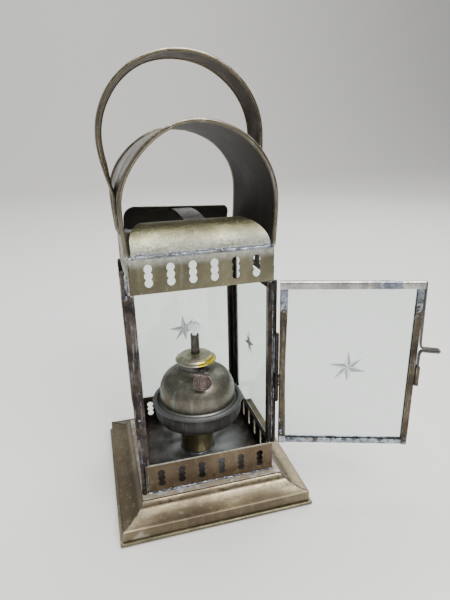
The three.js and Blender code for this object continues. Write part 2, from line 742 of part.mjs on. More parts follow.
function knob() {
  const rim = new THREE.Shape();
  const count = KNOB.teeth * 2;
  for (let i = 0; i < count; i += 1) {
    const angle = Math.PI * 2 * i / count;
    const radius = i % 2 ? KNOB.radius : KNOB.radius - 0.45;
    const point = new THREE.Vector2(Math.cos(angle), Math.sin(angle)).multiplyScalar(radius);
    i ? rim.lineTo(point.x, point.y) : rim.moveTo(point.x, point.y);
  }
  const bore = new THREE.Path();
  bore.absarc(0, 0, 1.3, 0, Math.PI * 2, true);
  rim.holes.push(bore);
  const disc = new THREE.ExtrudeGeometry(rim, { depth: KNOB.thickness, bevelEnabled: false, curveSegments: 5 });
  disc.translate(0, 0, KNOB.reach - KNOB.thickness / 2);
  return disc;
}

function addLamp() {
  const lamp = new THREE.Group();
  lamp.position.set(LAMP.x, LAMP.y, 0);
  lantern.add(lamp);
  const pedestal = place("lamp_pedestal", tube(14.1, 13.2, FLOOR_TOP + GAP, 49.6), TARNISHED_BRASS, lamp);
  pedestal.position.x = LAMP.pedestalX;
  place("lamp_cup", cup(), PEWTER_GREY, lamp);
  place("oil_font", font(), TARNISHED_BRASS, lamp);
  place("font_collar", tube(14.5, 12.2, 96.5, 99.4), TARNISHED_BRASS, lamp);
  place("burner_thread_skirt", tube(11.7, 10.6, 90, 99.4), TARNISHED_BRASS, lamp);
  place("burner_body", burnerBody(), TARNISHED_BRASS, lamp);
  place("burner_cap", burnerCap(), AGED_BRASS, lamp);
  place("wick_tube", tube(3.6, 2.7, 104.9, 127), TARNISHED_BRASS, lamp);
  place("wick", wick(), COTTON, lamp);

  const spindle = rod(1, -1.5, KNOB.reach + KNOB.thickness / 2, 10);
  const wheel = tube(2.9, 1.3, -1, 1, 14);
  const winder = { winder_spindle: spindle, winder_wheel: wheel, winder_knob: knob() };
  for (const [name, geometry] of Object.entries(winder)) {
    geometry.applyMatrix4(spindleFrame());
    place(name, geometry, COPPERY_BRASS, lamp);
  }
}

// ---------------------------------------------------------------- assembly

addBase();
addBand("lower_band", LOWER_BAND);
addBand("upper_band", UPPER_BAND);
addPosts();
addGlass();
addTop();
place("handle", handle(), AGED_BRASS);
addDoor();
addLamp();

export default lantern;
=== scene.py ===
"""Looks of the brass table lantern: smooth sheet metal, solder, glass with cut stars and the oil lamp.

Lengths in this script are millimetres until a mesh is made; Blender's own units are metres.
The frame is the CAD's: +Z up, the doorway faces -Y, the door stands open on its hinge at +X.
"""

import math
import random

import bmesh
import bpy
from mathutils import Matrix, Vector, noise
from mathutils.geometry import tessellate_polygon


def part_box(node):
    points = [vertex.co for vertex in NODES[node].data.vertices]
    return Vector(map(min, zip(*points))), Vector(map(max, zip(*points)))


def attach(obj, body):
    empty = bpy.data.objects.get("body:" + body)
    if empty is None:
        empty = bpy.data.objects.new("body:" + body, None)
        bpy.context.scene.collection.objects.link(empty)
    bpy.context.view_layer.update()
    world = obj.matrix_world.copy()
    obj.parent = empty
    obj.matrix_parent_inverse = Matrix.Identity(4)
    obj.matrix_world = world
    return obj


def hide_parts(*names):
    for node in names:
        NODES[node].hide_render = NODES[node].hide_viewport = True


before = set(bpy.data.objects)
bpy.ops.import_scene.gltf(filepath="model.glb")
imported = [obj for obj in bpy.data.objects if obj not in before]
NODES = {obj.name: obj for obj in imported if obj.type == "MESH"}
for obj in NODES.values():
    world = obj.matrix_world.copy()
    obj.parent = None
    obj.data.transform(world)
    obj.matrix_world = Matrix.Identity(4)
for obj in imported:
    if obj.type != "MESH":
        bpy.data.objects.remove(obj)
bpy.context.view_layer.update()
MM = 0.001

# ---------------------------------------------------------------- driving dimensions
# They are the CAD's. A skin may stand a few tenths of a millimetre off them where metal is worn or dented.

SHEET = 0.8
BODY_HALF = 50.0
SIDES = ("front", "right", "back", "left")

BASE = dict(rim=73.1, hem_height=2.6, gap=0.3, rim_top=11.2, shoulder=56.2, shoulder_top=20.0)
BAND_SLOTS = 6
LOWER_BAND = dict(name="lower_band", bottom=21.4, top=46.6, pitch=15.8, back_pitch=14.2,
                  slot_height=14.6, lobe=2.7, squeeze=1.0, slot_z=33.6)
UPPER_BAND = dict(name="upper_band", bottom=182.0, top=206.4, pitch=14.9, back_pitch=14.9,
                  slot_height=15.8, lobe=3.05, squeeze=0.9, slot_z=194.2)

CANOPY = dict(foot=206.8, foot_x=49.6, spring_z=237.6, radius=51.1, sheet=0.9, bead=1.5, bead_out=0.4,
              back_drop=4.5, left_dent=1.8)
HOOD = dict(radius=18.8, axis_y=30.8, foot=206.7)
HANDLE = dict(width=30.0, sheet=1.0, bead=1.3, end_z=215.0, leave_z=242.0, centre_x=-3.0, centre_z=278.7,
              half_width=56.6, rise=53.6, lean=math.radians(2.7), lean_z=240.0, left_twist=3.0)

HANDLE_SUNK = 0.1  # how far the crown lies below its CAD height, so that its waves stay inside the CAD's box

HINGE = Vector((51.9, -52.3, 0.0))
DOOR_TURN = math.radians(161.1 - 180)
DOOR = dict(near=1.95, far=101.7, bottom=48.4, top=181.9, mid_y=1.0, stile=4.6, hinge_stile=5.55,
            top_rail=5.6, bottom_rail=4.2)
GLASS = 1.4

LAMP = Vector((1.0, -0.2, 0.0))
KNOB = dict(radius=7.5, thickness=3.0, teeth=36, reach=32.7, z=100.8, offset=5.5, turn=math.radians(13))

# ---------------------------------------------------------------- node helpers for materials


class Shader:
    """A small helper that builds one material's node tree."""

    def __init__(self, name):
        self.material = bpy.data.materials.new(name)
        self.material.use_nodes = True
        self.nodes = self.material.node_tree.nodes
        self.links = self.material.node_tree.links
        self.nodes.clear()
        self.bsdf = self.add("ShaderNodeBsdfPrincipled")
        self.output = self.add("ShaderNodeOutputMaterial")
        self.links.new(self.bsdf.outputs[0], self.output.inputs["Surface"])
        self.place = self.add("ShaderNodeTexCoord").outputs["Object"]

    def add(self, kind, **settings):
        node = self.nodes.new(kind)
        for key, value in settings.items():
            setattr(node, key, value)
        return node

    def plug(self, socket, value):
        if isinstance(value, bpy.types.NodeSocket):
            self.links.new(value, socket)
        elif isinstance(value, tuple) and len(value) == 3 and socket.type == "RGBA":
            socket.default_value = (*value, 1.0)
        else:
            socket.default_value = value

    def scaled(self, scale):
        mapping = self.add("ShaderNodeMapping")
        self.plug(mapping.inputs["Vector"], self.place)
        mapping.inputs["Scale"].default_value = scale
        return mapping.outputs[0]

    def noise(self, scale, detail=4.0, rough=0.55, stretch=None, distort=0.0):
        node = self.add("ShaderNodeTexNoise")
        self.plug(node.inputs["Vector"], self.scaled(stretch) if stretch else self.place)
        settings = {"Scale": scale, "Detail": detail, "Roughness": rough, "Distortion": distort}
        for key, value in settings.items():
            node.inputs[key].default_value = value
        return node.outputs["Fac"]

    def ramp(self, value, low, high, out_low=0.0, out_high=1.0):
        node = self.add("ShaderNodeMapRange", interpolation_type="SMOOTHSTEP")
        self.plug(node.inputs["Value"], value)
        for key, number in (("From Min", low), ("From Max", high), ("To Min", out_low), ("To Max", out_high)):
            node.inputs[key].default_value = number
        return node.outputs[0]

    def maths(self, operation, a, b, clamp=False):
        node = self.add("ShaderNodeMath", operation=operation, use_clamp=clamp)
        self.plug(node.inputs[0], a)
        self.plug(node.inputs[1], b)
        return node.outputs[0]

    def blend(self, share, a, b, mode="MIX"):
        node = self.add("ShaderNodeMix", data_type="RGBA", blend_type=mode)
        self.plug(node.inputs[0], share)
        self.plug(node.inputs[6], a)
        self.plug(node.inputs[7], b)
        return node.outputs[2]

    def tone(self, colour, over, value, low, high, share=1.0):
        """Lays one colour over another, up to a share, as a value goes from low to high."""
        return self.blend(self.ramp(value, low, high, 0.0, share), colour, over)

    def mix(self, share, a, b):
        """Mixes two shaders."""
        node = self.add("ShaderNodeMixShader")
        for socket, value in zip(node.inputs, (share, a, b)):
            self.plug(socket, value)
        return node.outputs[0]

    def lerp(self, share, a, b):
        node = self.add("ShaderNodeMix", data_type="FLOAT")
        self.plug(node.inputs[0], share)
        self.plug(node.inputs[2], a)
        self.plug(node.inputs[3], b)
        return node.outputs[0]

    def attribute(self, name):
        return self.add("ShaderNodeAttribute", attribute_name=name).outputs["Fac"]

    def along(self, axis):
        """The coordinate along X, Y or Z, in metres."""
        split = self.add("ShaderNodeSeparateXYZ")
        self.plug(split.inputs[0], self.place)
        return split.outputs[axis]

    def edges(self):
        """1 on worn outer edges, 0 on flats and in corners."""
        return self.ramp(self.add("ShaderNodeNewGeometry").outputs["Pointiness"], 0.52, 0.6)

    def occlusion_mask(self, distance):
        """1 in corners and behind things, where shade falls, 0 in the open: the mask for painted shade."""
        node = self.add("ShaderNodeAmbientOcclusion", samples=6)
        node.inputs["Distance"].default_value = distance
        return self.ramp(node.outputs["AO"], 0.35, 0.95, 1.0, 0.0)

    def bump(self, *layers):
        """Stacks (height, distance in metres) layers into one normal."""
        normal = None
        for value, distance in layers:
            node = self.add("ShaderNodeBump")
            node.inputs["Strength"].default_value = 1.0
            node.inputs["Distance"].default_value = distance
            self.plug(node.inputs["Height"], value)
            if normal is not None:
                self.plug(node.inputs["Normal"], normal)
            normal = node.outputs[0]
        self.plug(self.bsdf.inputs["Normal"], normal)

    def set(self, **values):
        for key, value in values.items():
            self.plug(self.bsdf.inputs[key.replace("_", " ")], value)
        return self.material


def near_height(s, height_mm, reach_mm):
    """1 at a height, falling to 0 at the reach above and below it."""
    away = s.maths("ABSOLUTE", s.maths("SUBTRACT", s.along("Z"), height_mm * MM), 0.0)
    return s.ramp(away, 0.0, reach_mm * MM, 1.0, 0.0)


def height_band(s, low_mm, high_mm):
    """1 between two heights, with soft ends."""
    soft = 0.0006
    above = s.ramp(s.along("Z"), low_mm * MM - soft, low_mm * MM + soft)
    below = s.ramp(s.along("Z"), high_mm * MM - soft, high_mm * MM + soft, 1.0, 0.0)
    return s.maths("MULTIPLY", above, below)


def distance_from(s, point_mm):
    """Distance from a point in the frame, in metres."""
    node = s.add("ShaderNodeVectorMath", operation="DISTANCE")
    s.plug(node.inputs[0], s.place)
    node.inputs[1].default_value = Vector(point_mm) * MM
    return node.outputs["Value"]


def outside_square(s, half_mm):
    """1 outside an upright square column round the middle, 0 inside it."""
    far = s.maths("MAXIMUM", *(s.maths("ABSOLUTE", s.along(axis), 0.0) for axis in "XY"))
    return s.ramp(far, (half_mm - 0.2) * MM, (half_mm + 0.2) * MM)


def flux_bloom(s):
    """Pale flux and solder smoke on the floor, spreading in wisps from the pedestal's foot."""
    away = s.ramp(distance_from(s, (-0.8, -0.2, 21.1)), 0.014, 0.050, 1.0, 0.0)
    wisps = s.noise(34.0, 2.5, 0.5, distort=0.5)
    return s.maths("MULTIPLY", away, s.ramp(wisps, 0.30, 0.60, 0.12, 0.95))


CHIPS = ((-24, 14.6, 6.2), (-42, 15.2, 6.8), (-60, 15.4, 5.4), (-84, 15.6, 4.0), (-68, 10.6, 3.6))
CHIP_Z = 106.4


def yellow_chip(s):
    """Flakes of yellow paint left along the burner cap's rim."""
    away = 0.0
    for turn, reach, spread in CHIPS:
        angle = math.radians(turn)
        spot = LAMP + Vector((reach * math.cos(angle), reach * math.sin(angle), CHIP_Z))
        near = s.ramp(distance_from(s, spot), spread * 0.4 * MM, spread * MM, 1.0, 0.0)
        away = s.maths("MAXIMUM", away, near)
    flakes = s.noise(420.0, 3.0, 0.6)
    return s.ramp(s.maths("ADD", away, s.ramp(flakes, 0.3, 0.7, -0.45, 0.45)), 0.60, 0.70)


def patina_metal(name, base, dark, bright, roughness, grain=260.0, mottle=38.0, wear=0.0,
                 soot=(0.012, 0.010, 0.009), speckle=0.0, scratches=0.5, seams=(), patches=0.0, rust=0.0,
                 bloom=False, chip=False, rim_wear_and_highlight=None, pale_foot=None, streaks=(220.0, 0.22), waves=0.0004,
                 corner_shade_share=0.6, fleck=0.55, coat=0.0, pebble=0.0, margin=None):
    """Old sheet metal: two-scale patina, worn edges, fine scratches, painted shade in corners, solder and
    soot.

    The float attribute "soot" on a mesh says where soot lies. seams gives heights, each with the reach of the
    solder smeared beside it, and patches the share of the surface under thin solder. The rim argument is a
    band of
    heights and its tone: worn metal on the cup and the font, a painted highlight along the lower band's
    rolled top edge. pale_foot is a height and its reach. margin gives the half width beyond which a plate is
    left uncovered, and its tone there. waves and pebble are bump heights in metres.
    """
    s = Shader(name)
    broad = s.noise(mottle, 5.0, 0.6, distort=0.4)
    fine = s.noise(grain, 6.0, 0.65)
    streak = s.noise(streaks[0], 4.0, 0.6, stretch=(1.0, 1.0, 0.1))
    colour = s.tone(dark, base, broad, 0.35, 0.68)
    for over, value, low, high, share in ((bright, fine, 0.56, 0.74, fleck), (dark, fine, 0.44, 0.30, fleck),
                                          (bright, streak, 0.54, 0.70, streaks[1]),
                                          (dark, streak, 0.46, 0.32, streaks[1])):
        colour = s.tone(colour, over, value, low, high, share)
    if speckle:
        colour = s.tone(colour, (0.42, 0.34, 0.10), s.noise(620.0, 2.0, 0.5), 0.70, 0.74, speckle)
        green = s.noise(240.0, 2.0, 0.5, distort=1.0)
        colour = s.tone(colour, (0.10, 0.20, 0.12), green, 0.72, 0.76, speckle)
    colour = s.blend(s.maths("MULTIPLY", s.edges(), wear), colour, bright)
    # Painted shade: a near-black colour laid by ambient occlusion into corners and behind things, patchy with
    # the broad noise; the same mask also roughens them.
    painted_corner_shade = s.maths("MULTIPLY", s.occlusion_mask(0.006), s.ramp(broad, 0.3, 0.7, 0.4 * corner_shade_share, corner_shade_share))
    colour = s.blend(painted_corner_shade, colour, (0.028, 0.022, 0.018))

    if rust:
        colour = s.tone(colour, (0.150, 0.070, 0.035), s.noise(70.0, 3.0, 0.6, distort=0.5), 0.52, 0.70, rust)
    if chip:
        colour = s.blend(yellow_chip(s), colour, (0.55, 0.42, 0.03))
    if bloom:
        colour = s.blend(flux_bloom(s), colour, (0.58, 0.59, 0.60))
    # Rim band: worn metal on the cup and the font; on the lower band it is a painted highlight along the
    # rolled top edge.
    if rim_wear_and_highlight:
        low, high, tone = rim_wear_and_highlight
        rim_wear_and_sheen = s.maths("MULTIPLY", height_band(s, low, high), s.ramp(fine, 0.3, 0.6, 0.35, 0.95))
        colour = s.blend(rim_wear_and_sheen, colour, tone)
    # Paler, speckled metal towards a height near the foot seam, fading over its reach.
    if pale_foot:
        paler_by_foot = s.maths("MULTIPLY", near_height(s, *pale_foot), s.ramp(fine, 0.35, 0.65, 0.45, 0.95))
        colour = s.blend(paler_by_foot, colour, (0.56, 0.58, 0.52))

    smear_noise = s.noise(160.0, 5.0, 0.7, distort=0.6)
    solder = 0.0
    for height, reach in seams:
        solder = s.maths("MAXIMUM", solder, near_height(s, height, reach))
    if patches:
        patch = s.noise(32.0, 4.0, 0.6, distort=0.3)
        thin = s.ramp(patch, 0.68 - 0.36 * patches, 0.80 - 0.36 * patches, 0.0, 0.9)
        solder = s.maths("MAXIMUM", solder, thin)
    smear = s.ramp(s.maths("ADD", solder, s.ramp(smear_noise, 0.3, 0.7, -0.35, 0.35)), 0.42, 0.6)
    tin = s.tone((0.17, 0.20, 0.25), (0.44, 0.47, 0.52), smear_noise, 0.4, 0.65)
    tin = s.tone(tin, (0.10, 0.105, 0.125), fine, 0.50, 0.40, 0.6)
    colour = s.blend(smear, colour, tin)

    sooted = s.maths("ADD", s.attribute("soot"), s.ramp(broad, 0.3, 0.7, -0.12, 0.12))
    sooted = s.ramp(sooted, 0.15, 0.85)
    colour = s.blend(s.maths("MULTIPLY", sooted, 0.97), colour, soot)

    hair = s.ramp(s.noise(90.0, 3.0, 0.6, stretch=(1.2, 40.0, 9.0)), 0.60, 0.64, 0.0, scratches)
    rough = s.lerp(s.ramp(broad, 0.3, 0.7), roughness + 0.10, roughness - 0.05)
    for part in (s.ramp(fine, 0.35, 0.7, -0.06, 0.12), s.maths("MULTIPLY", painted_corner_shade, 0.25),
                 s.maths("MULTIPLY", hair, 0.12)):
        rough = s.maths("ADD", rough, part)
    rough = s.lerp(smear, rough, 0.36)
    rough = s.lerp(sooted, rough, 0.62)
    s.bump((broad, waves), (fine, 0.00008 + pebble), (s.maths("MULTIPLY", smear, smear_noise), 0.0004))
    metallic = s.maths("SUBTRACT", 1.0, s.maths("MULTIPLY", sooted, 0.75))
    if margin:
        half, tone = margin
        outside = outside_square(s, half)
        colour = s.blend(outside, colour, s.tone(tone, (0.42, 0.44, 0.47), smear_noise, 0.50, 0.62))
        rough = s.lerp(outside, rough, 0.60)
        metallic = s.lerp(outside, metallic, 0.35)
    s.set(Specular_IOR_Level=s.lerp(sooted, 0.5, 0.12), Coat_Weight=coat, Coat_Roughness=0.08)
    return s.set(Base_Color=colour, Roughness=rough, Metallic=metallic)


def solder_metal():
    """Lead-grey solder with bright runs, dull blue-grey skin and painted shade in its folds."""
    s = Shader("solder")
    lumps = s.noise(210.0, 5.0, 0.6, distort=0.8)
    skin = s.noise(90.0, 4.0, 0.6)
    colour = s.tone((0.13, 0.14, 0.165), (0.40, 0.43, 0.47), lumps, 0.36, 0.64)
    colour = s.tone(colour, (0.20, 0.24, 0.31), skin, 0.5, 0.75, 0.7)
    colour = s.tone(colour, (0.10, 0.085, 0.07), skin, 0.47, 0.30, 0.75)
    # Painted shade: the solder's folds darken where ambient occlusion finds them.
    colour = s.blend(s.occlusion_mask(0.002), colour, (0.04, 0.035, 0.03))
    s.bump((lumps, 0.0004), (s.noise(900.0, 3.0), 0.00006))
    return s.set(Base_Color=colour, Roughness=s.ramp(lumps, 0.3, 0.7, 0.52, 0.36), Metallic=1.0)


def clear_glass():
    """Old window glass: clear, a faint green cast, dust and fine scratches that catch the light."""
    s = Shader("window_glass")
    dust = s.noise(140.0, 6.0, 0.7)
    scratch = s.noise(70.0, 3.0, 0.6, stretch=(24.0, 24.0, 1.4))
    haze = s.maths("ADD", s.ramp(dust, 0.52, 0.8, 0.0, 0.07), s.ramp(scratch, 0.66, 0.70, 0.0, 0.07))
    clear = s.add("ShaderNodeBsdfTransparent")
    clear.inputs[0].default_value = (0.905, 0.945, 0.930, 1.0)
    shine = s.add("ShaderNodeBsdfGlossy")
    shine.inputs["Roughness"].default_value = 0.03
    milk = s.add("ShaderNodeBsdfDiffuse")
    milk.inputs["Color"].default_value = (0.86, 0.87, 0.88, 1.0)
    facing = s.add("ShaderNodeLayerWeight").outputs["Facing"]
    mirror = s.maths("ADD", s.maths("MULTIPLY", s.maths("POWER", facing, 5.0), 0.5), 0.05)
    clean = s.mix(mirror, clear.outputs[0], shine.outputs[0])
    s.plug(s.output.inputs["Surface"], s.mix(haze, clean, milk.outputs[0]))
    return s.material


def cotton():
    """White woven wick: twill bands along it, soft fluff and a faint painted glow."""
    s = Shader("cotton_wick")
    weave = s.add("ShaderNodeTexWave", wave_type="BANDS", bands_direction="DIAGONAL")
    s.plug(weave.inputs["Vector"], s.place)
    weave.inputs["Scale"].default_value = 420.0
    weave.inputs["Distortion"].default_value = 3.0
    lint = s.noise(700.0, 4.0)
    colour = s.tone((0.88, 0.89, 0.92), (0.98, 0.98, 0.98), lint, 0.3, 0.7)
    colour = s.blend(s.attribute("soot"), colour, (0.16, 0.13, 0.10))
    s.bump((weave.outputs["Fac"], 0.00012), (lint, 0.0002))
    # The emission is a painted glow that lightens the wick; it is no flame.
    return s.set(Base_Color=colour, Roughness=0.95, Sheen_Weight=0.35, Emission_Color=(0.92, 0.95, 1.0),
                 Emission_Strength=0.30)


def cut_glass(name, haze, painted_shading, milk):
    """A ground facet of the cut star: part frosted, part clear. The colour of its clear part is a painted
    shade for the view bent through it, and its frosted colour is painted lighter or darker.
    """
    s = Shader(name)
    clear = s.add("ShaderNodeBsdfTransparent")
    s.plug(clear.inputs[0], painted_shading)
    s.set(Base_Color=milk, Roughness=0.35)
    frosted = s.ramp(s.noise(900.0, 3.0), 0.3, 0.7, haze - 0.08, haze + 0.08)
    s.plug(s.output.inputs["Surface"], s.mix(frosted, clear.outputs[0], s.bsdf.outputs[0]))
    return s.material


MATERIALS = {
    "aged": patina_metal("aged_brass", (0.25, 0.23, 0.145), (0.14, 0.128, 0.08), (0.5, 0.48, 0.36), 0.36,
        wear=0.75, speckle=0.6),
    "brown": patina_metal("brown_brass", (0.208, 0.172, 0.11), (0.112, 0.088, 0.058), (0.5, 0.47, 0.37),
        0.33, wear=0.5, speckle=0.12, mottle=20.0, corner_shade_share=0.25, waves=0.0003, scratches=0.0,
        streaks=(200.0, 0.08), fleck=0.35),
    "brown_hem": patina_metal("hem_brass", (0.24, 0.215, 0.135), (0.13, 0.116, 0.074), (0.5, 0.48, 0.37),
        0.34, speckle=0.8),
    # The lower band's top rim tone is a painted highlight along its rolled edge.
    "lower_band": patina_metal("lower_band_brass", (0.16, 0.12, 0.078), (0.092, 0.068, 0.046),
        (0.4, 0.35, 0.27), 0.34, speckle=0.2, seams=((21.2, 2.2),), waves=0.0003, mottle=24.0,
        rim_wear_and_highlight=(45.9, 47.2, (0.58, 0.55, 0.46)), corner_shade_share=0.3, scratches=0.1),
    "upper_band": patina_metal("upper_band_brass", (0.215, 0.2, 0.13), (0.115, 0.106, 0.07),
        (0.46, 0.45, 0.36), 0.34, speckle=0.5, seams=((206.6, 1.8),), waves=0.0003, mottle=24.0,
        pale_foot=(206.4, 8.0), corner_shade_share=0.3, scratches=0.1),
    "hood": patina_metal("hood_brass", (0.27, 0.256, 0.15), (0.165, 0.154, 0.088), (0.56, 0.56, 0.44), 0.44,
        wear=0.4, speckle=0.8, grain=620.0, mottle=46.0, seams=((206.8, 4.4),), waves=0.0002,
        pale_foot=(206.8, 15.0), scratches=0.2, fleck=0.8, pebble=0.00022),
    "canopy": patina_metal("canopy_brass", (0.215, 0.188, 0.125), (0.1, 0.086, 0.058), (0.66, 0.65, 0.61),
        0.25, wear=0.8, speckle=0.1, soot=(0.012, 0.0065, 0.005), grain=300.0, fleck=0.1, waves=0.0002,
        pebble=-6e-05),
    "handle": patina_metal("handle_brass", (0.265, 0.236, 0.162), (0.13, 0.114, 0.078), (0.68, 0.67, 0.62),
        0.21, wear=0.8, soot=(0.03, 0.019, 0.012), grain=240.0, streaks=(60.0, 0.15), scratches=0.1,
        fleck=0.06, waves=0.0002, pebble=-6e-05),
    # The post brass's bluish bright streaks are partly a painted highlight, a blue-silver shine along the
    # posts. The two darker copies below, for the front right post, the hinge knuckles and the back posts, are
    # painted shade.
    "post": patina_metal("post_brass", (0.098, 0.078, 0.064), (0.028, 0.024, 0.023), (0.34, 0.36, 0.42),
        0.25, patches=0.16, streaks=(700.0, 0.45), mottle=60.0, fleck=0.3),
    "post_shaded_right": patina_metal("right_post_shaded_brass", (0.046, 0.035, 0.028), (0.018, 0.015, 0.014),
        (0.2, 0.21, 0.24), 0.27, patches=0.03, streaks=(700.0, 0.25), mottle=60.0, fleck=0.2),
    "post_shaded_back": patina_metal("back_post_shaded_brass", (0.03, 0.025, 0.021), (0.012, 0.01, 0.009),
        (0.12, 0.11, 0.1), 0.38, patches=0.06, streaks=(900.0, 0.4)),
    "door_frame": patina_metal("door_frame_brass", (0.115, 0.092, 0.06), (0.042, 0.035, 0.027),
        (0.34, 0.34, 0.34), 0.28, patches=0.18, seams=((183.0, 44.0), (46.0, 14.0)), streaks=(700.0, 0.4),
        fleck=0.3),
    "door_rail": patina_metal("tinned_rail", (0.58, 0.57, 0.54), (0.26, 0.255, 0.238), (0.84, 0.85, 0.86),
        0.22, streaks=(120.0, 0.3), patches=0.2, fleck=0.4),
    "floor": patina_metal("floor_brass", (0.074, 0.058, 0.048), (0.028, 0.022, 0.019), (0.22, 0.2, 0.18),
        0.44, mottle=40.0, bloom=True, corner_shade_share=0.4, scratches=0.1, margin=(50.2, (0.27, 0.228, 0.16))),
    "pedestal": patina_metal("pedestal_brass", (0.3, 0.255, 0.13), (0.14, 0.118, 0.062), (0.44, 0.4, 0.25),
        0.34, streaks=(300.0, 0.3), corner_shade_share=0.3),
    "sooty": patina_metal("sooty_brass", (0.05, 0.04, 0.032), (0.018, 0.015, 0.013), (0.18, 0.16, 0.13),
        0.42),
    "tarnished": patina_metal("tarnished_brass", (0.15, 0.14, 0.12), (0.055, 0.05, 0.044),
        (0.42, 0.41, 0.38), 0.28, mottle=60.0, streaks=(500.0, 0.4)),
    "font": patina_metal("font_brass", (0.188, 0.178, 0.142), (0.122, 0.114, 0.09), (0.46, 0.46, 0.4), 0.41,
        wear=0.2, mottle=90.0, rust=0.55, grain=900.0, waves=8e-05, scratches=0.1,
        rim_wear_and_highlight=(67.9, 70.8, (0.2, 0.205, 0.2)), corner_shade_share=0.25, coat=0.22, speckle=0.3, pebble=6e-05),
    "cap": patina_metal("cap_brass", (0.68, 0.635, 0.485), (0.38, 0.352, 0.255), (0.78, 0.76, 0.66), 0.38,
        wear=0.6, mottle=120.0, chip=True, corner_shade_share=1.0, grain=500.0),
    "pewter": patina_metal("pewter_grey", (0.1, 0.095, 0.094), (0.046, 0.042, 0.042), (0.34, 0.34, 0.34),
        0.55, wear=0.6, grain=900.0, speckle=0.2, rim_wear_and_highlight=(67.6, 71.6, (0.15, 0.154, 0.152)), waves=0.0003,
        scratches=0.1),
    "copper": patina_metal("coppery_brass", (0.155, 0.115, 0.106), (0.052, 0.038, 0.036), (0.4, 0.33, 0.31),
        0.38, wear=0.7, grain=900.0, mottle=160.0, waves=0.0002, corner_shade_share=1.0),
    "steel": patina_metal("dull_steel", (0.2, 0.19, 0.18), (0.08, 0.07, 0.065), (0.45, 0.44, 0.42), 0.32),
    "solder_brown": patina_metal("tinned_brown", (0.12, 0.105, 0.088), (0.05, 0.044, 0.04),
        (0.32, 0.32, 0.33), 0.36, patches=0.35),
    "solder": solder_metal(),
    "glass": clear_glass(),
    # Painted light: lit, shaded and dark copies of one cut glass, whose facets' brightness and the darkness
    # seen through them stand for light and shade.
    "cut_painted_lit": cut_glass("cut_glass_painted_lit", 0.4, (0.56, 0.58, 0.6), (0.9, 0.91, 0.93)),
    "cut_painted_shaded": cut_glass("cut_glass_painted_shaded", 0.2, (0.28, 0.29, 0.31), (0.6, 0.61, 0.63)),
    "cut_painted_dark": cut_glass("cut_glass_painted_dark", 0.06, (0.06, 0.04, 0.05), (0.2, 0.17, 0.18)),
    "cotton": cotton(),
}

# ---------------------------------------------------------------- mesh helpers


def drift(point, scale, amount):
    """A smooth, repeatable offset for a point, from -amount to amount."""
    return noise.noise(Vector(point) * scale) * amount


def linked(name, data):
    """A new object in the scene."""
    thing = bpy.data.objects.new(name, data)
    bpy.context.scene.collection.objects.link(thing)
    return thing


def blacken(mesh, soot):
    """Writes each vertex's share of soot, for the materials to read."""
    mesh.attributes.new("soot", "FLOAT", "POINT").data.foreach_set("value", soot)


def clad(thing, material, body, nodes):
    """Gives a piece its material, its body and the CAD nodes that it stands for."""
    thing.data.materials.clear()
    thing.data.materials.append(MATERIALS[material])
    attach(thing, body)
    if nodes:
        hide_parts(*nodes)
    return thing


def quarter(index):
    """A turn by so many right angles round the upright axis."""
    return Matrix.Rotation(index * math.pi / 2, 3, "Z")


class Skin:
    """Collects vertices in millimetres, their soot and faces, then makes one Blender object."""

    def __init__(self):
        self.points = []
        self.faces = []
        self.soot = []

    def add(self, point, soot=0.0):
        self.points.append(Vector(point))
        self.soot.append(soot)
        return len(self.points) - 1

    def grid(self, rows, close_rows=False, close_columns=False):
        """Quads through rows of vertex numbers."""
        count = len(rows)
        width = len(rows[0])
        for i in range(count if close_rows else count - 1):
            a, b = rows[i], rows[(i + 1) % count]
            for j in range(width if close_columns else width - 1):
                k = (j + 1) % width
                self.faces.append((a[j], a[k], b[k], b[j]))

    def tube(self, rings, cap=True, closed=False):
        """A closed skin through rings, which are lists of vertex numbers."""
        self.grid(rings, close_rows=closed, close_columns=True)
        if cap and not closed:
            self.faces.append(tuple(rings[0]))
            self.faces.append(tuple(reversed(rings[-1])))

    def build(self, name, material, body="lantern", nodes=(), slot=None, smooth=40.0, place=None):
        mesh = bpy.data.meshes.new(name)
        spots = [place @ p for p in self.points] if place is not None else self.points
        mesh.from_pydata([p * MM for p in spots], [], self.faces)
        mesh.validate()
        if any(self.soot):
            blacken(mesh, self.soot)
        thing = linked(name, mesh)
        finish_mesh(thing, smooth)
        return clad(thing, material, body, nodes)


def finish_mesh(thing, smooth_degrees):
    """Faces turned outwards, and smooth shading except over sharp edges."""
    work = bmesh.new()
    work.from_mesh(thing.data)
    bmesh.ops.remove_doubles(work, verts=work.verts, dist=1e-6)
    bmesh.ops.recalc_face_normals(work, faces=work.faces)
    limit = math.radians(smooth_degrees)
    for face in work.faces:
        face.smooth = True
    for edge in work.edges:
        edge.smooth = len(edge.link_faces) != 2 or edge.calc_face_angle(0.0) < limit
    work.to_mesh(thing.data)
    work.free()


def bevel(thing, width_mm):
    """Rounds every edge sharper than 30 degrees."""
    modifier = thing.modifiers.new("edge", "BEVEL")
    modifier.width = width_mm * MM
    modifier.segments = 2
    modifier.limit_method = "ANGLE"
    modifier.angle_limit = math.radians(30.0)
    modifier.harden_normals = False
    return thing


def refined(node, material, width, body="lantern", smooth=40.0):
    """A finer copy of a CAD node that stands for it: smooth shading and soft edges."""
    thing = linked(node + "_skin", NODES[node].data.copy())
    finish_mesh(thing, smooth)
    if width:
        bevel(thing, width)
    return clad(thing, material, body, [node])


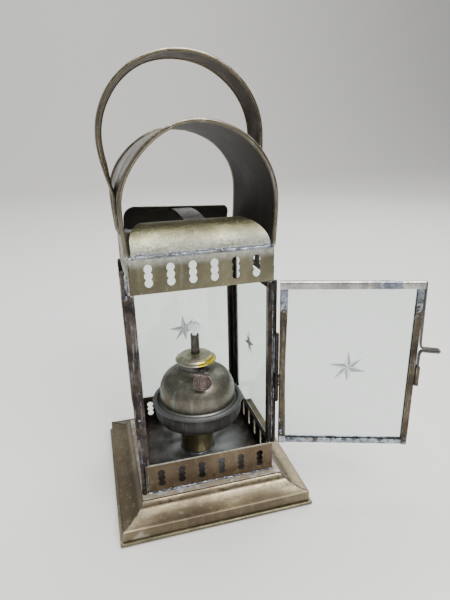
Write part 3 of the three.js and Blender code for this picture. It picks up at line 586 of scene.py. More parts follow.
def smooth_line(points, per_span):
    """A Catmull-Rom curve through points of any dimension."""
    padded = [points[0], *points, points[-1]]
    out = []
    for i in range(len(points) - 1):
        a, b, c, d = (Vector(p) for p in padded[i:i + 4])
        for k in range(per_span):
            t = k / per_span
            out.append(0.5 * (2 * b + (c - a) * t + (2 * a - 5 * b + 4 * c - d) * t * t
                              + (3 * b - a - 3 * c + d) * t ** 3))
    out.append(Vector(points[-1]))
    return out


def circle_frame(tangent):
    """Two directions across a path."""
    side = tangent.cross(Vector((0, 0, 1)))
    if side.length < 0.05:
        side = tangent.cross(Vector((0, 1, 0)))
    side.normalize()
    return side, side.cross(tangent).normalized()


def sweep_round(skin, path, radius, sides, lumps=0.0, seed=0.0, taper=0.0, flat=1.0):
    """A rod along a path; lumps roughens its radius, taper thins its ends, flat squashes it across."""
    rings = []
    last = len(path) - 1
    for i, point in enumerate(path):
        tangent = (path[min(i + 1, last)] - path[max(i - 1, 0)]).normalized()
        side, up = circle_frame(tangent)
        end = min(i, last - i) / max(last, 1)
        thin = min(1.0, 0.25 + end / taper) if taper else 1.0
        ring = []
        for j in range(sides):
            angle = 2 * math.pi * j / sides
            spot = point + Vector((seed, angle, 0))
            r = radius * thin * (1 + drift(spot, 0.45, lumps) + drift(spot, 1.7, lumps * 0.6))
            ring.append(skin.add(point + (side * math.cos(angle) + up * math.sin(angle) * flat) * r))
        rings.append(ring)
    skin.tube(rings)


def between(a, b, steps):
    """Evenly spaced points from one point to another, both ends included."""
    a, b = Vector(a), Vector(b)
    return [a.lerp(b, i / steps) for i in range(steps + 1)]


def rope(skin, start, end, steps, radius, sides, **shape):
    """A straight rod or run of solder from one point to another."""
    sweep_round(skin, between(start, end, steps), radius, sides, **shape)


def turned(name, outline, material, slot, body="lantern", nodes=(), centre=LAMP, segments=96, smooth=35.0,
           wobble=0.0, seed=0.0):
    """A lathe-turned piece round a vertical axis; the outline is (radius, height), axis to axis or a ring."""
    skin = Skin()
    rings = []
    closed = outline[0][0] > 0.01
    for r, z in outline:
        if r < 0.01:
            rings.append([skin.add(centre + Vector((0, 0, z)))] * segments)
            continue
        ring = []
        for k in range(segments):
            angle = 2 * math.pi * k / segments
            spot = Vector((r * math.cos(angle), r * math.sin(angle), z))
            out = 1 + drift(spot + Vector((seed, 0, 0)), 0.06, wobble) / max(r, 1.0)
            ring.append(skin.add(centre + Vector((spot.x * out, spot.y * out, z))))
        rings.append(ring)
    skin.grid(rings, close_rows=closed, close_columns=True)
    skin.faces = [tuple(dict.fromkeys(face)) for face in skin.faces]
    skin.faces = [face for face in skin.faces if len(face) > 2]
    return skin.build(name, material, body, nodes, slot, smooth)


# ---------------------------------------------------------------- base

def base_profile():
    """The moulding's centreline from the rim up to its shoulder: (distance from the middle, height)."""
    half = SHEET / 2
    rim = BASE["rim"] - half
    points = [(rim, BASE["hem_height"] + BASE["gap"]), (rim, 7.0), (rim, BASE["rim_top"] - half)]
    start = Vector((rim - 0.6, BASE["rim_top"] - half + 0.1))
    pull, end = Vector((59.6, 12.3)), Vector((57.4, 17.2))
    steps = 22
    for i in range(steps + 1):
        t = i / steps
        point = start * (1 - t) ** 2 + pull * 2 * t * (1 - t) + end * t * t
        points.append((point.x, point.y))
    edge, top = BASE["shoulder"] - half, BASE["shoulder_top"] - half
    return points + [(edge + 0.25, top - 0.7), (edge - 0.3, top - 0.1), (edge - 0.9, top), (50.5, top),
                     (BODY_HALF - 4, top)]


def thick_line(points, half):
    """Both faces of a strip along a flat line, as (point, outward normal) offset pairs."""
    out = []
    for i, point in enumerate(points):
        a, b = Vector(points[max(i - 1, 0)]), Vector(points[min(i + 1, len(points) - 1)])
        tangent = (b - a).normalized()
        normal = Vector((-tangent.y, tangent.x))
        out.append((Vector(point) - normal * half, Vector(point) + normal * half))
    return out


def base_moulding(index):
    """One side of the base, mitred at both ends, with the slight waves of hand-bent sheet."""
    skin = Skin()
    pairs = thick_line(base_profile(), SHEET / 2)
    loop = [p[0] for p in pairs] + [p[1] for p in reversed(pairs)]
    inner_from = len(pairs)
    stations = 36
    turn = quarter(index)
    rings = []
    for i in range(stations + 1):
        along = 2 * i / stations - 1
        ring = []
        for k, (out, z) in enumerate(loop):
            wave = drift((along * 3 + index * 7, out * 0.05, 0), 1.0, 0.16) * (1 - along ** 4)
            point = Vector((along * (out - 0.05), -out - wave * 0.5, z + wave * 0.5))
            ring.append(skin.add(turn @ point, soot=0.9 if k >= inner_from else 0.0))
        rings.append(ring)
    skin.tube(rings)
    node = "base_moulding_" + SIDES[index]
    bevel(skin.build(node + "_skin", "brown", nodes=[node], slot="brown_brass"), 0.2)


def base():
    for index in range(4):
        base_moulding(index)
    refined("base_bottom_plate", "brown_hem", 0.55)
    refined("floor_plate", "floor", 0.2)
    skin = Skin()
    profile = [Vector((r, 0, z)) for r, z in base_profile()]
    for index in range(4):
        turn = quarter(index)
        path = [turn @ Vector((p.x + 0.05, -p.x - 0.05, p.z + 0.3)) for p in profile if p.x > 54.5]
        sweep_round(skin, path, 0.42, 8, lumps=0.75, seed=index * 31.0, taper=0.08)
    skin.build("solder_base_mitres", "solder_brown", slot="soldered_brass", smooth=80)


# ---------------------------------------------------------------- pierced bands

def slot_outline(x, z, height, lobe, squeeze):
    """A slot of three overlapping round lobes, one above another."""
    step = height / 2 - lobe
    waist = math.acos(step / 2 / lobe)
    arcs = ((z + step, waist - math.pi / 2, 1.5 * math.pi - waist, 20),
            (z, math.pi / 2 + waist, 1.5 * math.pi - waist, 8),
            (z - step, math.pi / 2 + waist, 2.5 * math.pi - waist, 20),
            (z, waist - math.pi / 2, math.pi / 2 - waist, 8))
    points = []
    for centre, start, end, steps in arcs:
        for k in range(steps):
            angle = start + (end - start) * k / steps
            points.append((x + lobe * squeeze * math.cos(angle), centre + lobe * math.sin(angle)))
    return points


def punched_sheet(outlines, thickness, edge):
    """A flat sheet in X and Z with holes and softly rounded edges, as a mesh centred on Y 0."""
    curve = bpy.data.curves.new("punched", "CURVE")
    curve.dimensions = "2D"
    curve.fill_mode = "BOTH"
    curve.extrude = thickness / 2 - edge
    curve.bevel_depth = edge
    curve.bevel_resolution = 1
    curve.offset = -edge
    for outline in outlines:
        spline = curve.splines.new("POLY")
        spline.points.add(len(outline) - 1)
        for point, (x, z) in zip(spline.points, outline):
            point.co = (x, z, 0, 1)
        spline.use_cyclic_u = True
    holder = linked("punched", curve)
    bpy.context.view_layer.update()
    mesh = bpy.data.meshes.new_from_object(holder.evaluated_get(bpy.context.evaluated_depsgraph_get()))
    bpy.data.objects.remove(holder)
    mesh.transform(Matrix.Rotation(math.pi / 2, 4, "X"))
    return mesh


def band_panel(band, index):
    side = SIDES[index]
    name = f"{band['name']}_{side}"
    tucked = index % 2 == 1
    half = BODY_HALF - SHEET - 0.3 if tucked else BODY_HALF
    pitch = band["back_pitch"] if side == "back" else band["pitch"]
    outlines = [[(-half, band["bottom"]), (half, band["bottom"]), (half, band["top"]), (-half, band["top"])]]
    for k in range(BAND_SLOTS):
        x = (k - (BAND_SLOTS - 1) / 2) * pitch
        outlines.append(slot_outline(x, band["slot_z"], band["slot_height"], band["lobe"], band["squeeze"]))
    mesh = punched_sheet(outlines, SHEET, 0.13)
    outwards = Matrix.Translation((0, -BODY_HALF + SHEET / 2, 0))
    mesh.transform(Matrix.Rotation(index * math.pi / 2, 4, "Z") @ outwards)
    mesh.transform(Matrix.Scale(MM, 4))
    thing = linked(name + "_skin", mesh)
    finish_mesh(thing, 12)
    inner = BODY_HALF - SHEET * 0.55
    blacken(mesh, [0.8 if max(abs(v.co.x), abs(v.co.y)) < inner * MM else 0.0 for v in mesh.vertices])
    clad(thing, band["name"], "lantern", [name])


def square_path(half, z, steps, index):
    """One side of a square round the body, as a path from corner to corner."""
    turn = quarter(index)
    return [turn @ p for p in between((-half, -half, z), (half, -half, z), steps)]


def bands():
    for band in (LOWER_BAND, UPPER_BAND):
        for index in range(4):
            band_panel(band, index)
    foot = Skin()
    corners = Skin()
    for index in range(4):
        sweep_round(foot, square_path(BODY_HALF + 0.25, LOWER_BAND["bottom"] - 0.5, 70, index), 0.5, 10,
                    lumps=0.9, seed=index * 17.0, flat=2.3)
        turn = quarter(index)
        for k, band in enumerate((LOWER_BAND, UPPER_BAND)):
            low, high = band["bottom"] + 0.3, band["top"] - 0.3
            path = [turn @ p for p in between((BODY_HALF - 0.35, -BODY_HALF + 0.35, low),
                                              (BODY_HALF - 0.35, -BODY_HALF + 0.35, high), 20)]
            sweep_round(corners, path, 0.42, 8, lumps=0.35, seed=index * 13.0 + k * 5.0, taper=0.05)
    foot.build("solder_band_foot", "solder", slot="soldered_brass", smooth=80)
    corners.build("solder_band_corners", "solder_brown", slot="soldered_brass", smooth=80)


# ---------------------------------------------------------------- posts, rods and panes

def filled_post():
    """The front left post and its rod, run together under brown metal and solder into one rounded bar."""
    skin = Skin()
    rings = []
    rows, columns = 150, 18
    middle_y, half_depth, swell = -49.35, 1.55, 0.12
    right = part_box("post_front_left")[1].x / MM
    rod_low, rod_high = (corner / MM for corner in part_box("edge_rod_front_left"))
    radius = (rod_high.y - rod_low.y) / 2
    for i in range(rows + 1):
        z = LOWER_BAND["top"] + 0.6 + (UPPER_BAND["bottom"] - LOWER_BAND["top"] - 1.2) * i / rows
        share = (z - rod_low.z) / (rod_high.z - rod_low.z)
        left = rod_high.x - 2 * radius + 0.1 + (rod_low.x - rod_high.x + 2 * radius) * share
        half = (right - left) / 2
        ring = []
        for k in range(columns):
            angle = 2 * math.pi * k / columns
            lump = drift((math.cos(angle) * 2, math.sin(angle) * 2, z * 0.16), 1.0, 0.16)
            ring.append(skin.add((left + half + (half + swell + lump) * math.cos(angle),
                                  middle_y + (half_depth + lump) * math.sin(angle), z)))
        rings.append(ring)
    skin.tube(rings)
    skin.build("post_front_left_cover", "post", slot="brown_brass", smooth=60)


def posts():
    filled_post()
    # The front right post and the back posts take darker copies of the post brass: painted shade.
    for name, material in (("post_front_right", "post_shaded_right"), ("post_front_left", "post"),
                           ("post_back_right", "post_shaded_back"), ("post_back_left", "post_shaded_back")):
        refined(name, material, 0.14)
    for name, material in (("edge_rod_front_right", "post_shaded_right"), ("edge_rod_front_left", "post")):
        refined(name, material, 0.0, smooth=60)
    refined("post_gusset", "sooty", 0.12)
    blobs = Skin()
    for node in ("post_front_right", "post_front_left", "post_back_right", "post_back_left"):
        low, high = (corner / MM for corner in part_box(node))
        middle = (low + high) / 2
        for z, seed in ((low.z + 0.2, 3.0), (high.z - 0.2, 8.0)):
            y = low.y + 0.45 if "front" in node else high.y - 0.45
            rope(blobs, (low.x + 0.3, y, z), (high.x - 0.3, y, z), 8, 0.62, 9, lumps=0.7,
                 seed=seed + middle.x, taper=0.3, flat=1.5)
    low, high = (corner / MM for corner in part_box("edge_rod_front_left"))
    rod_x = (low.x + high.x) / 2
    foot = UPPER_BAND["bottom"]
    rope(blobs, (rod_x + 1.9, low.y + 0.9, foot + 1), (rod_x + 1.2, low.y + 0.9, high.z - 2), 18, 1.0, 9,
         lumps=0.8, seed=41.0, taper=0.15)
    rope(blobs, (rod_x + 0.4, low.y + 0.3, foot - 3.4), (rod_x + 1.0, low.y + 0.2, foot + 0.9), 8, 1.3, 12,
         lumps=0.3, seed=47.0, taper=0.4)
    rope(blobs, (rod_x + 1.4, low.y + 0.6, 86.0), (rod_x + 1.7, low.y + 0.6, 89.4), 6, 1.2, 10, lumps=0.4,
         seed=53.0, taper=0.4)
    low, high = (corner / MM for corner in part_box("edge_rod_front_right"))
    x, y = high.x - 3.6, low.y + 0.7
    rope(blobs, (x, y, low.z + 4), (x, y, high.z - 2), 60, 0.6, 8, lumps=0.9, seed=61.0, taper=0.05)
    blobs.build("solder_posts", "solder", slot="soldered_brass", smooth=80)


STAR_TIPS = ((90, 13.6), (39, 12.9), (-14, 14.0), (-90, 11.8), (-136, 14.2), (169, 14.6))
STAR_WAIST = 4.4
STAR_DEPTH = 0.45


def star_points(scale, turn):
    """The outline of a hand-cut six-pointed star: tips and waists by turns, anticlockwise."""
    tips = sorted(((angle + turn) % 360, reach * scale) for angle, reach in STAR_TIPS)
    points = []
    for k, (angle, reach) in enumerate(tips):
        after = tips[(k + 1) % len(tips)][0] + (360 if k + 1 == len(tips) else 0)
        for a, r in ((angle, reach), ((angle + after) / 2, STAR_WAIST * scale)):
            points.append(Vector((r * math.cos(math.radians(a)), r * math.sin(math.radians(a)))))
    return points


def pane(node, along, star_centre, scale, turn, body="lantern", outer=1, facets=("cut_painted_lit", "cut_painted_shaded")):
    """A pane that stands for its CAD node, with a star cut into its outer face.

    along is the horizontal direction in the pane; star_centre is the distance along it from the pane's
    middle, and the height.
    """
    corners = [v.co / MM for v in NODES[node].data.vertices]
    along = Vector(along).normalized()
    normal = along.cross(Vector((0, 0, 1))) * outer
    middle = sum(corners, Vector()) / len(corners)
    reach = max((c - middle).dot(along) for c in corners)
    low, high = min(c.z for c in corners), max(c.z for c in corners)
    half = GLASS / 2

    def spot(a, z, depth):
        flat = Vector((middle.x, middle.y, 0)) + along * a + normal * (half - depth)
        return flat + Vector((0, 0, z))

    frame_points = [(-reach, low), (reach, low), (reach, high), (-reach, high)]
    star = [(star_centre[0] + p.x, star_centre[1] + p.y) for p in star_points(scale, turn)]
    skin = Skin()
    front = [skin.add(spot(a, z, 0)) for a, z in frame_points + star]
    back = [skin.add(spot(a, z, GLASS)) for a, z in frame_points]
    flat = [[Vector((a, z, 0)) for a, z in frame_points], [Vector((a, z, 0)) for a, z in star]]
    skin.faces += [tuple(front[i] for i in triangle) for triangle in tessellate_polygon(flat)]
    skin.faces.append(tuple(back))
    skin.faces += [(front[i], front[(i + 1) % 4], back[(i + 1) % 4], back[i]) for i in range(4)]
    painted_shading = [0] * len(skin.faces)
    hub = skin.add(spot(*star_centre, STAR_DEPTH))
    rim = front[4:]
    for k in range(len(rim)):
        skin.faces.append((hub, rim[k], rim[(k + 1) % len(rim)]))
        # Alternate facets take the painted lit and the painted shaded copy of the cut glass.
        painted_shading.append(1 if k % 2 == 0 else 2)
    thing = skin.build(node + "_skin", "glass", body, [node], "clear_glass", smooth=1)
    for label in facets:
        thing.data.materials.append(MATERIALS[label])
    for polygon, index in zip(thing.data.polygons, painted_shading):
        polygon.material_index = index
    return thing


def panes():
    pane("glass_back", (1, 0, 0), (1.9, 111.8), 1.0, 6, outer=-1)
    pane("glass_right", (0, 1, 0), (3.9, 111.5), 0.85, 0, facets=("cut_painted_dark", "cut_painted_dark"))
    pane("glass_left", (0, 1, 0), (3.0, 111.5), 0.85, 14, outer=-1)
    door_x = Vector((math.cos(DOOR_TURN), math.sin(DOOR_TURN), 0))
    pane("door_glass", door_x, (0.3, 114.5), 1.0, 0, body="door")


# ---------------------------------------------------------------- canopy, handle and hoods

def canopy_x(z):
    share = (z - CANOPY["foot"]) / (CANOPY["spring_z"] - CANOPY["foot"])
    return CANOPY["foot_x"] + (CANOPY["radius"] - CANOPY["foot_x"]) * math.sin(min(share, 1.0) * math.pi / 2)


def canopy_line():
    """The canopy's centreline from its right foot over the top to its left foot."""
    flank, arch = 14, 50
    line = []
    for i in range(flank):
        z = CANOPY["foot"] + (CANOPY["spring_z"] - CANOPY["foot"]) * i / flank
        line.append(Vector((canopy_x(z), z)))
    radius = CANOPY["radius"]
    for i in range(arch + 1):
        angle = math.pi / 2 * i / arch
        line.append(Vector((radius * math.cos(angle), CANOPY["spring_z"] + radius * math.sin(angle))))
    return line + [Vector((-p.x, p.y)) for p in reversed(line[:-1])]


def settled(point):
    """The arch has sunk a little towards the back, and its left shoulder is slightly flattened."""
    rise = CANOPY["spring_z"] + CANOPY["radius"] - CANOPY["foot"]
    x, y, z = point
    up = z - CANOPY["spring_z"]
    angle = math.atan2(up, -x)
    dent = CANOPY["left_dent"] * math.sin(2 * angle) ** 2 if x < 0 < up else 0.0
    sink = CANOPY["back_drop"] * (y + BODY_HALF) / (2 * BODY_HALF) * ((z - CANOPY["foot"]) / rise) ** 2
    return Vector((x + dent * math.cos(angle), y, z - dent * math.sin(angle) - max(sink, 0.0)))


def rolled_section(reach, half, roll, out, flats):
    """A strip's cross-section with a roll along each edge: (across, outwards, is it the inner side)."""
    centre = reach - roll
    start = math.pi - math.asin((half - out) / roll)
    end = -math.pi + math.asin((half + out) / roll)
    steps = 14
    turn = [start + (end - start) * k / steps for k in range(steps + 1)]
    inset = roll * 1.5
    across = [(-centre + inset) + 2 * (centre - inset) * k / flats for k in range(flats + 1)]
    rim = [(centre + roll * math.cos(a), out + roll * math.sin(a), 0.25 if math.sin(a) < -0.3 else 0.0)
           for a in turn]
    loop = [(y, half, 0.0) for y in across] + rim + [(y, -half, 1.0) for y in reversed(across)]
    return loop + [(-y, up, inner) for y, up, inner in reversed(rim)]


def swept_strip(line, section, warp, soot_share, dents):
    """A strip that follows a line in X and Z, with its cross-section in Y; warp moves each finished point."""
    skin = Skin()
    rings = []
    last = len(line) - 1
    for i, point in enumerate(line):
        tangent = (line[min(i + 1, last)] - line[max(i - 1, 0)]).normalized()
        normal = Vector((tangent.y, -tangent.x))
        ring = []
        for y, out, inner in section:
            dent = drift((point.x * 0.03, y * 0.03, point.y * 0.03), 1.0, dents)
            spot = point + normal * (out + dent)
            ring.append(skin.add(warp(Vector((spot.x, y, spot.y))), soot=inner * soot_share))
        rings.append(ring)
    skin.tube(rings)
    return skin


def canopy():
    section = rolled_section(BODY_HALF, CANOPY["sheet"] / 2, CANOPY["bead"], CANOPY["bead_out"], 16)
    skin = swept_strip(canopy_line(), section, settled, 0.85, 0.22)
    skin.build("canopy_skin", "canopy", nodes=["canopy"], slot="sooty_brass", smooth=50)


def handle_side(side):
    stand_off = CANOPY["sheet"] / 2 + 0.3 + HANDLE["sheet"] / 2
    line = []
    for i in range(9):
        z = HANDLE["end_z"] + (CANOPY["spring_z"] - HANDLE["end_z"]) * i / 8
        line.append(Vector((side * (canopy_x(z) + stand_off), z)))
    widest = HANDLE["centre_x"] + side * HANDLE["half_width"]
    leave = side * (CANOPY["radius"] + stand_off)
    a = Vector((leave, HANDLE["leave_z"]))
    b = Vector((leave + (widest - leave) * 0.35, HANDLE["leave_z"] + 9))
    c, d = Vector((widest, HANDLE["centre_z"] - 14)), Vector((widest, HANDLE["centre_z"]))
    for i in range(19):
        t = i / 18
        line.append(a * (1 - t) ** 3 + b * 3 * t * (1 - t) ** 2 + c * 3 * t * t * (1 - t) + d * t ** 3)
    for i in range(1, 45):
        angle = math.pi / 2 * i / 44
        line.append(Vector((HANDLE["centre_x"] + side * HANDLE["half_width"] * math.cos(angle),
                            HANDLE["centre_z"] + (HANDLE["rise"] - HANDLE_SUNK) * math.sin(angle))))
    return line


def twisted(point):
    """The strap's left side is bent a little out of true: its back edge leans inwards."""
    above = min(max((point.z - HANDLE["leave_z"]) / 20, 0.0), 1.0)
    outwards = min(max((-point.x - 20) / 30, 0.0), 1.0)
    shift = HANDLE["left_twist"] * above * outwards * (point.y / HANDLE["width"] + 0.5)
    return point + Vector((shift, 0, 0))


def handle():
    line = handle_side(1) + list(reversed(handle_side(-1)[:-1]))
    section = rolled_section(HANDLE["width"] / 2, HANDLE["sheet"] / 2, HANDLE["bead"], 0.0, 10)
    lift = Matrix.Translation((0, 0, HANDLE["lean_z"]))
    lean = lift @ Matrix.Rotation(-HANDLE["lean"], 4, "X") @ lift.inverted()
    skin = swept_strip(line, section, lambda p: lean @ twisted(p), 0.7, 0.18)
    skin.build("handle_skin", "handle", nodes=["handle"], slot="aged_brass", smooth=50)
    tacks = Skin()
    for side in (-1, 1):
        x = side * (canopy_x(HANDLE["end_z"]) + 1.2)
        end = [lean @ p for p in between((x, -HANDLE["width"] / 2 + 1, HANDLE["end_z"] + 0.2),
                                         (x, HANDLE["width"] / 2 - 1, HANDLE["end_z"] + 0.2), 24)]
        sweep_round(tacks, end, 0.6, 8, lumps=0.8, seed=side * 9.0, taper=0.1)
        for y in (-HANDLE["width"] / 2, HANDLE["width"] / 2):
            side_run = [lean @ Vector((side * (canopy_x(z) + 1.1), y, z)) for z in range(215, 243, 2)]
            sweep_round(tacks, side_run, 0.4, 8, lumps=0.9, seed=y + side, taper=0.15)
    tacks.build("solder_handle", "solder", slot="soldered_brass", smooth=80)


def hood(node, material, slot, half, corners, tilt, turn):
    """Quarter-round sheet that turns in over the lamp, its crest corners rounded, the one at -X first."""
    skin = Skin()
    rings = []
    rows, columns = 44, 26
    spin = Matrix.Rotation(turn, 3, "Z")
    for i in range(rows + 1):
        angle = math.pi - math.pi / 2 * (i / rows)
        ring = []
        for face, out in ((0.0, SHEET / 2), (1.0, -SHEET / 2)):
            for k in range(columns + 1):
                share = 2 * k / columns - 1
                share = share if face == 0.0 else -share
                corner = corners[share > 0]
                over = max(corner - HOOD["radius"] * (1 - math.sin(angle)), 0.0)
                width = half - corner + math.sqrt(max(corner ** 2 - over ** 2, 0.0))
                wave = drift((share * 2.2, i * 0.08, turn), 1.0, 0.2) * math.sin(math.pi * i / rows / 1.2)
                r = HOOD["radius"] + out + wave
                point = Vector((share * width, -HOOD["axis_y"] + r * math.cos(angle),
                                HOOD["foot"] + r * math.sin(angle)))
                point.z += (point.z - HOOD["foot"]) / HOOD["radius"] * tilt * point.x
                ring.append(skin.add(spin @ point, soot=face))
        rings.append(ring)
    skin.tube(rings)
    bevel(skin.build(node + "_skin", material, nodes=[node], slot=slot, smooth=35), 0.22)


def roof():
    canopy()
    handle()
    hood("hood_front", "hood", "aged_brass", 47.5, (9.0, 18.0), 0.0, 0.0)
    hood("hood_back", "hood", "sooty_brass", 44.2, (9.0, 11.0), 0.045, math.pi)
    refined("hood_bridge", "solder_brown", 0.12, smooth=60)
    seams = Skin()
    foot = HOOD["foot"]
    for side in (-1, 1):
        edge = side * (BODY_HALF - 0.2)
        rope(seams, (-47.0, edge, foot + 0.1), (47.0, edge, foot + 0.1), 80, 0.55, 10, lumps=0.9,
             seed=side * 23.0, flat=1.7)
        rope(seams, (edge, -49.0, foot - 0.2), (edge, 49.0, foot - 0.2), 80, 0.55, 10, lumps=0.9,
             seed=side * 29.0, flat=1.5)
    seams.build("solder_roof", "solder", slot="soldered_brass", smooth=80)


# ---------------------------------------------------------------- door

DOOR_FRAME = (Matrix.Translation(HINGE) @ Matrix.Rotation(DOOR_TURN, 4, "Z")
              @ Matrix.Translation((0, DOOR["mid_y"], 0)))


def door():
    for node in ("door_stile_hinge", "door_stile_latch", "door_rail_bottom"):
        refined(node, "door_frame", 0.16, "door", smooth=50)
    refined("door_rail_top", "door_rail", 0.16, "door", smooth=50)
    refined("latch_spring", "steel", 0.2, "latch", smooth=50)
    refined("latch_keeper", "door_frame", 0.1, "latch")
    # The knuckles take the darker copy of the post brass: painted shade.
    refined("hinge_knuckle_door", "post_shaded_right", 0.12, "door", smooth=60)
    refined("hinge_knuckle_lower", "post_shaded_right", 0.12, smooth=60)
    refined("hinge_knuckle_upper", "post_shaded_right", 0.12, smooth=60)
    refined("hinge_pin", "steel", 0.08, smooth=60)
    joints = Skin()
    face_y = 1.75
    near, far = DOOR["near"] + 0.6, DOOR["far"] - 0.6
    top, bottom = DOOR["top"], DOOR["bottom"]
    rail, stile = DOOR["top_rail"], DOOR["stile"]
    wide = DOOR["hinge_stile"]
    inner, outer, low, high = near + wide - 0.4, far - stile + 0.4, bottom + 0.6, bottom + DOOR["bottom_rail"]
    lines = [((near, top - rail), (near + wide, top - rail)), ((far, top - rail), (far - stile, top - rail)),
             ((inner, low), (inner, high)), ((outer, low), (outer, high))]
    for side in (-1, 1):
        y = side * face_y
        for k, (start, end) in enumerate(lines):
            path = between((start[0], y, start[1]), (end[0], y, end[1]), 14)
            sweep_round(joints, [DOOR_FRAME @ p for p in path], 0.45, 9, lumps=0.7, seed=k * 5.0 + side,
                        taper=0.2)
    leaf = [DOOR_FRAME @ p for p in between((1.9, -0.6, 98.6), (1.9, -0.6, 108.2), 14)]
    sweep_round(joints, leaf, 1.0, 9, lumps=0.4, seed=77.0, taper=0.2)
    joints.build("solder_door", "solder", "door", slot="soldered_brass", smooth=80)
    knuckles = Skin()
    x, y = HINGE.x - 1.3, HINGE.y + 1.3
    for low, high in ((87.0, 97.0), (109.6, 141.4)):
        rope(knuckles, (x, y, low), (x, y, high), 20, 0.9, 9, lumps=0.5, seed=low, taper=0.15)
    knuckles.build("solder_knuckles", "solder", slot="soldered_brass", smooth=80)


# ---------------------------------------------------------------- oil lamp

BOWL_Z = 74
BOWL_POWER = 2.6


def bowl_outline(radius, height, top_radius, steps):
    """A squarish dome above BOWL_Z, as (radius, height) from its widest point up to its mouth."""
    power = 2 / BOWL_POWER
    last = math.acos((top_radius / radius) ** (1 / power))
    turns = [last * i / steps for i in range(steps + 1)]
    return [(radius * math.cos(a) ** power, BOWL_Z + height * math.sin(a) ** power) for a in turns]


def lamp_bowl():
    pedestal = LAMP + Vector((-1.8, 0, 0))
    column = [(14.05, 21.4), (14.1, 21.8), (14.0, 30), (14.02, 40), (14.1, 49.2), (14.0, 49.6), (13.2, 49.6),
              (13.2, 21.4)]
    turned("lamp_pedestal_skin", column, "pedestal", "tarnished_brass", nodes=["lamp_pedestal"],
           centre=pedestal, wobble=0.12)
    outside = smooth_line([(22, 49.9), (28.5, 50.8), (33, 53), (35.9, 56.5), (36.6, 60)], 6)
    outside += [(36.6, 63.0), (36.6, 66.0)]
    outside += smooth_line([(36.7, 66.5), (37.2, 66.8), (37.8, 68.3), (37.6, 69.8), (36.4, 71),
                            (34.9, 71.05), (33.6, 70), (33.4, 68)], 4)
    inside = smooth_line([(33.4, 62), (33.3, 58), (30.5, 54.6), (26, 52.6), (20, 51.3)], 4)
    outline = [(0, 49.9), *[tuple(p) for p in outside], *[tuple(p) for p in inside], (0, 51.3)]
    turned("lamp_cup_skin", outline, "pewter", "pewter_grey", nodes=["lamp_cup"], wobble=0.3, seed=4.0,
           smooth=60)
    rings = Skin()
    for radius, z, thick, seed in ((14.3, 21.6, 0.75, 11.0), (14.5, 49.7, 0.8, 19.0)):
        path = [pedestal + Vector((radius * math.cos(a), radius * math.sin(a), z))
                for a in (2 * math.pi * k / 60 for k in range(61))]
        sweep_round(rings, path, thick, 8, lumps=0.7, seed=seed)
    rings.build("solder_pedestal", "solder", slot="soldered_brass", smooth=80)


def font():
    outside = bowl_outline(31.7, 24, 16.5, 30)
    inside = bowl_outline(30.7, 23, 15.5, 8)
    inside.reverse()
    foot = [tuple(p) for p in smooth_line([(24, 54), (29, 57), (31.4, 63), (31.6, 67.6)], 5)]
    foot += [(32.7, 68.3), (33.0, 68.6), (33.0, 69.6), (32.8, 69.9), (31.9, 70.3), (31.7, 70.9)]
    outline = [(0, 54), *foot, *outside, (14.8, 98.05), (12.2, 96.6), (12.2, 95.2), *inside, (30.4, 63.5),
               (23.5, 55), (0, 55)]
    turned("oil_font_skin", outline, "font", "tarnished_brass", "font", ["oil_font"], wobble=0.25, seed=9.0,
           smooth=60)
    collar = [(12.2, 96.5), (14.3, 96.5), (14.5, 96.8), (14.5, 97.6), (14.2, 97.9), (14.5, 98.2),
              (14.5, 99.1), (14.3, 99.4), (12.2, 99.4)]
    turned("font_collar_skin", collar, "tarnished", "tarnished_brass", "font", ["font_collar"])
    thread = []
    for k in range(9):
        z = 90.3 + k
        thread += [(11.2, z), (11.7, z + 0.5)]
    thread = [(10.6, 90.0), (11.2, 90.0), *thread, (11.2, 99.4), (10.6, 99.4)]
    turned("burner_thread_skirt_skin", thread, "tarnished", "tarnished_brass", "burner_thread",
           ["burner_thread_skirt"], smooth=20)


def spindle_frame():
    """The winder's own frame: its Z runs out along the spindle, its origin lies beside the wick."""
    out = Vector((-math.sin(KNOB["turn"]), -math.cos(KNOB["turn"]), 0))
    across = Vector((0, 0, 1)).cross(out)
    start = across * KNOB["offset"] + Vector((0, 0, KNOB["z"])) + LAMP
    return Matrix(((across.x, 0, out.x, start.x), (across.y, 0, out.y, start.y),
                   (across.z, 1, out.z, start.z), (0, 0, 0, 1)))


def burner():
    refined("burner_body", "pewter", 0.14, "burner", smooth=40)
    cap = [(3.9, 105.0), (14.6, 105.05), (16.2, 104.85), (16.7, 104.95), (16.95, 105.3), (16.8, 105.75),
           (16.2, 106.1), (15.2, 106.45), (14.5, 106.8), (14.1, 107.4), (13.9, 107.9), (13.4, 108.15),
           (12.9, 108.25), (12.5, 108.6), (12.0, 109.0), (11.2, 109.15), (9.6, 109.25), (8.0, 109.5),
           (6.4, 109.75), (5.2, 109.95), (4.3, 110.3), (3.9, 110.3)]
    turned("burner_cap_skin", cap, "cap", "aged_brass", "burner", ["burner_cap"], wobble=0.35, seed=2.0,
           smooth=45)
    tube = [(2.7, 105.0), (3.55, 105.0), (3.6, 105.4), (3.6, 112.5), (3.72, 112.8), (3.6, 113.1),
            (3.6, 126.4), (3.5, 126.9), (3.1, 127.1), (2.7, 126.8)]
    turned("wick_tube_skin", tube, "tarnished", "tarnished_brass", "burner", ["wick_tube"], segments=48,
           wobble=0.1)


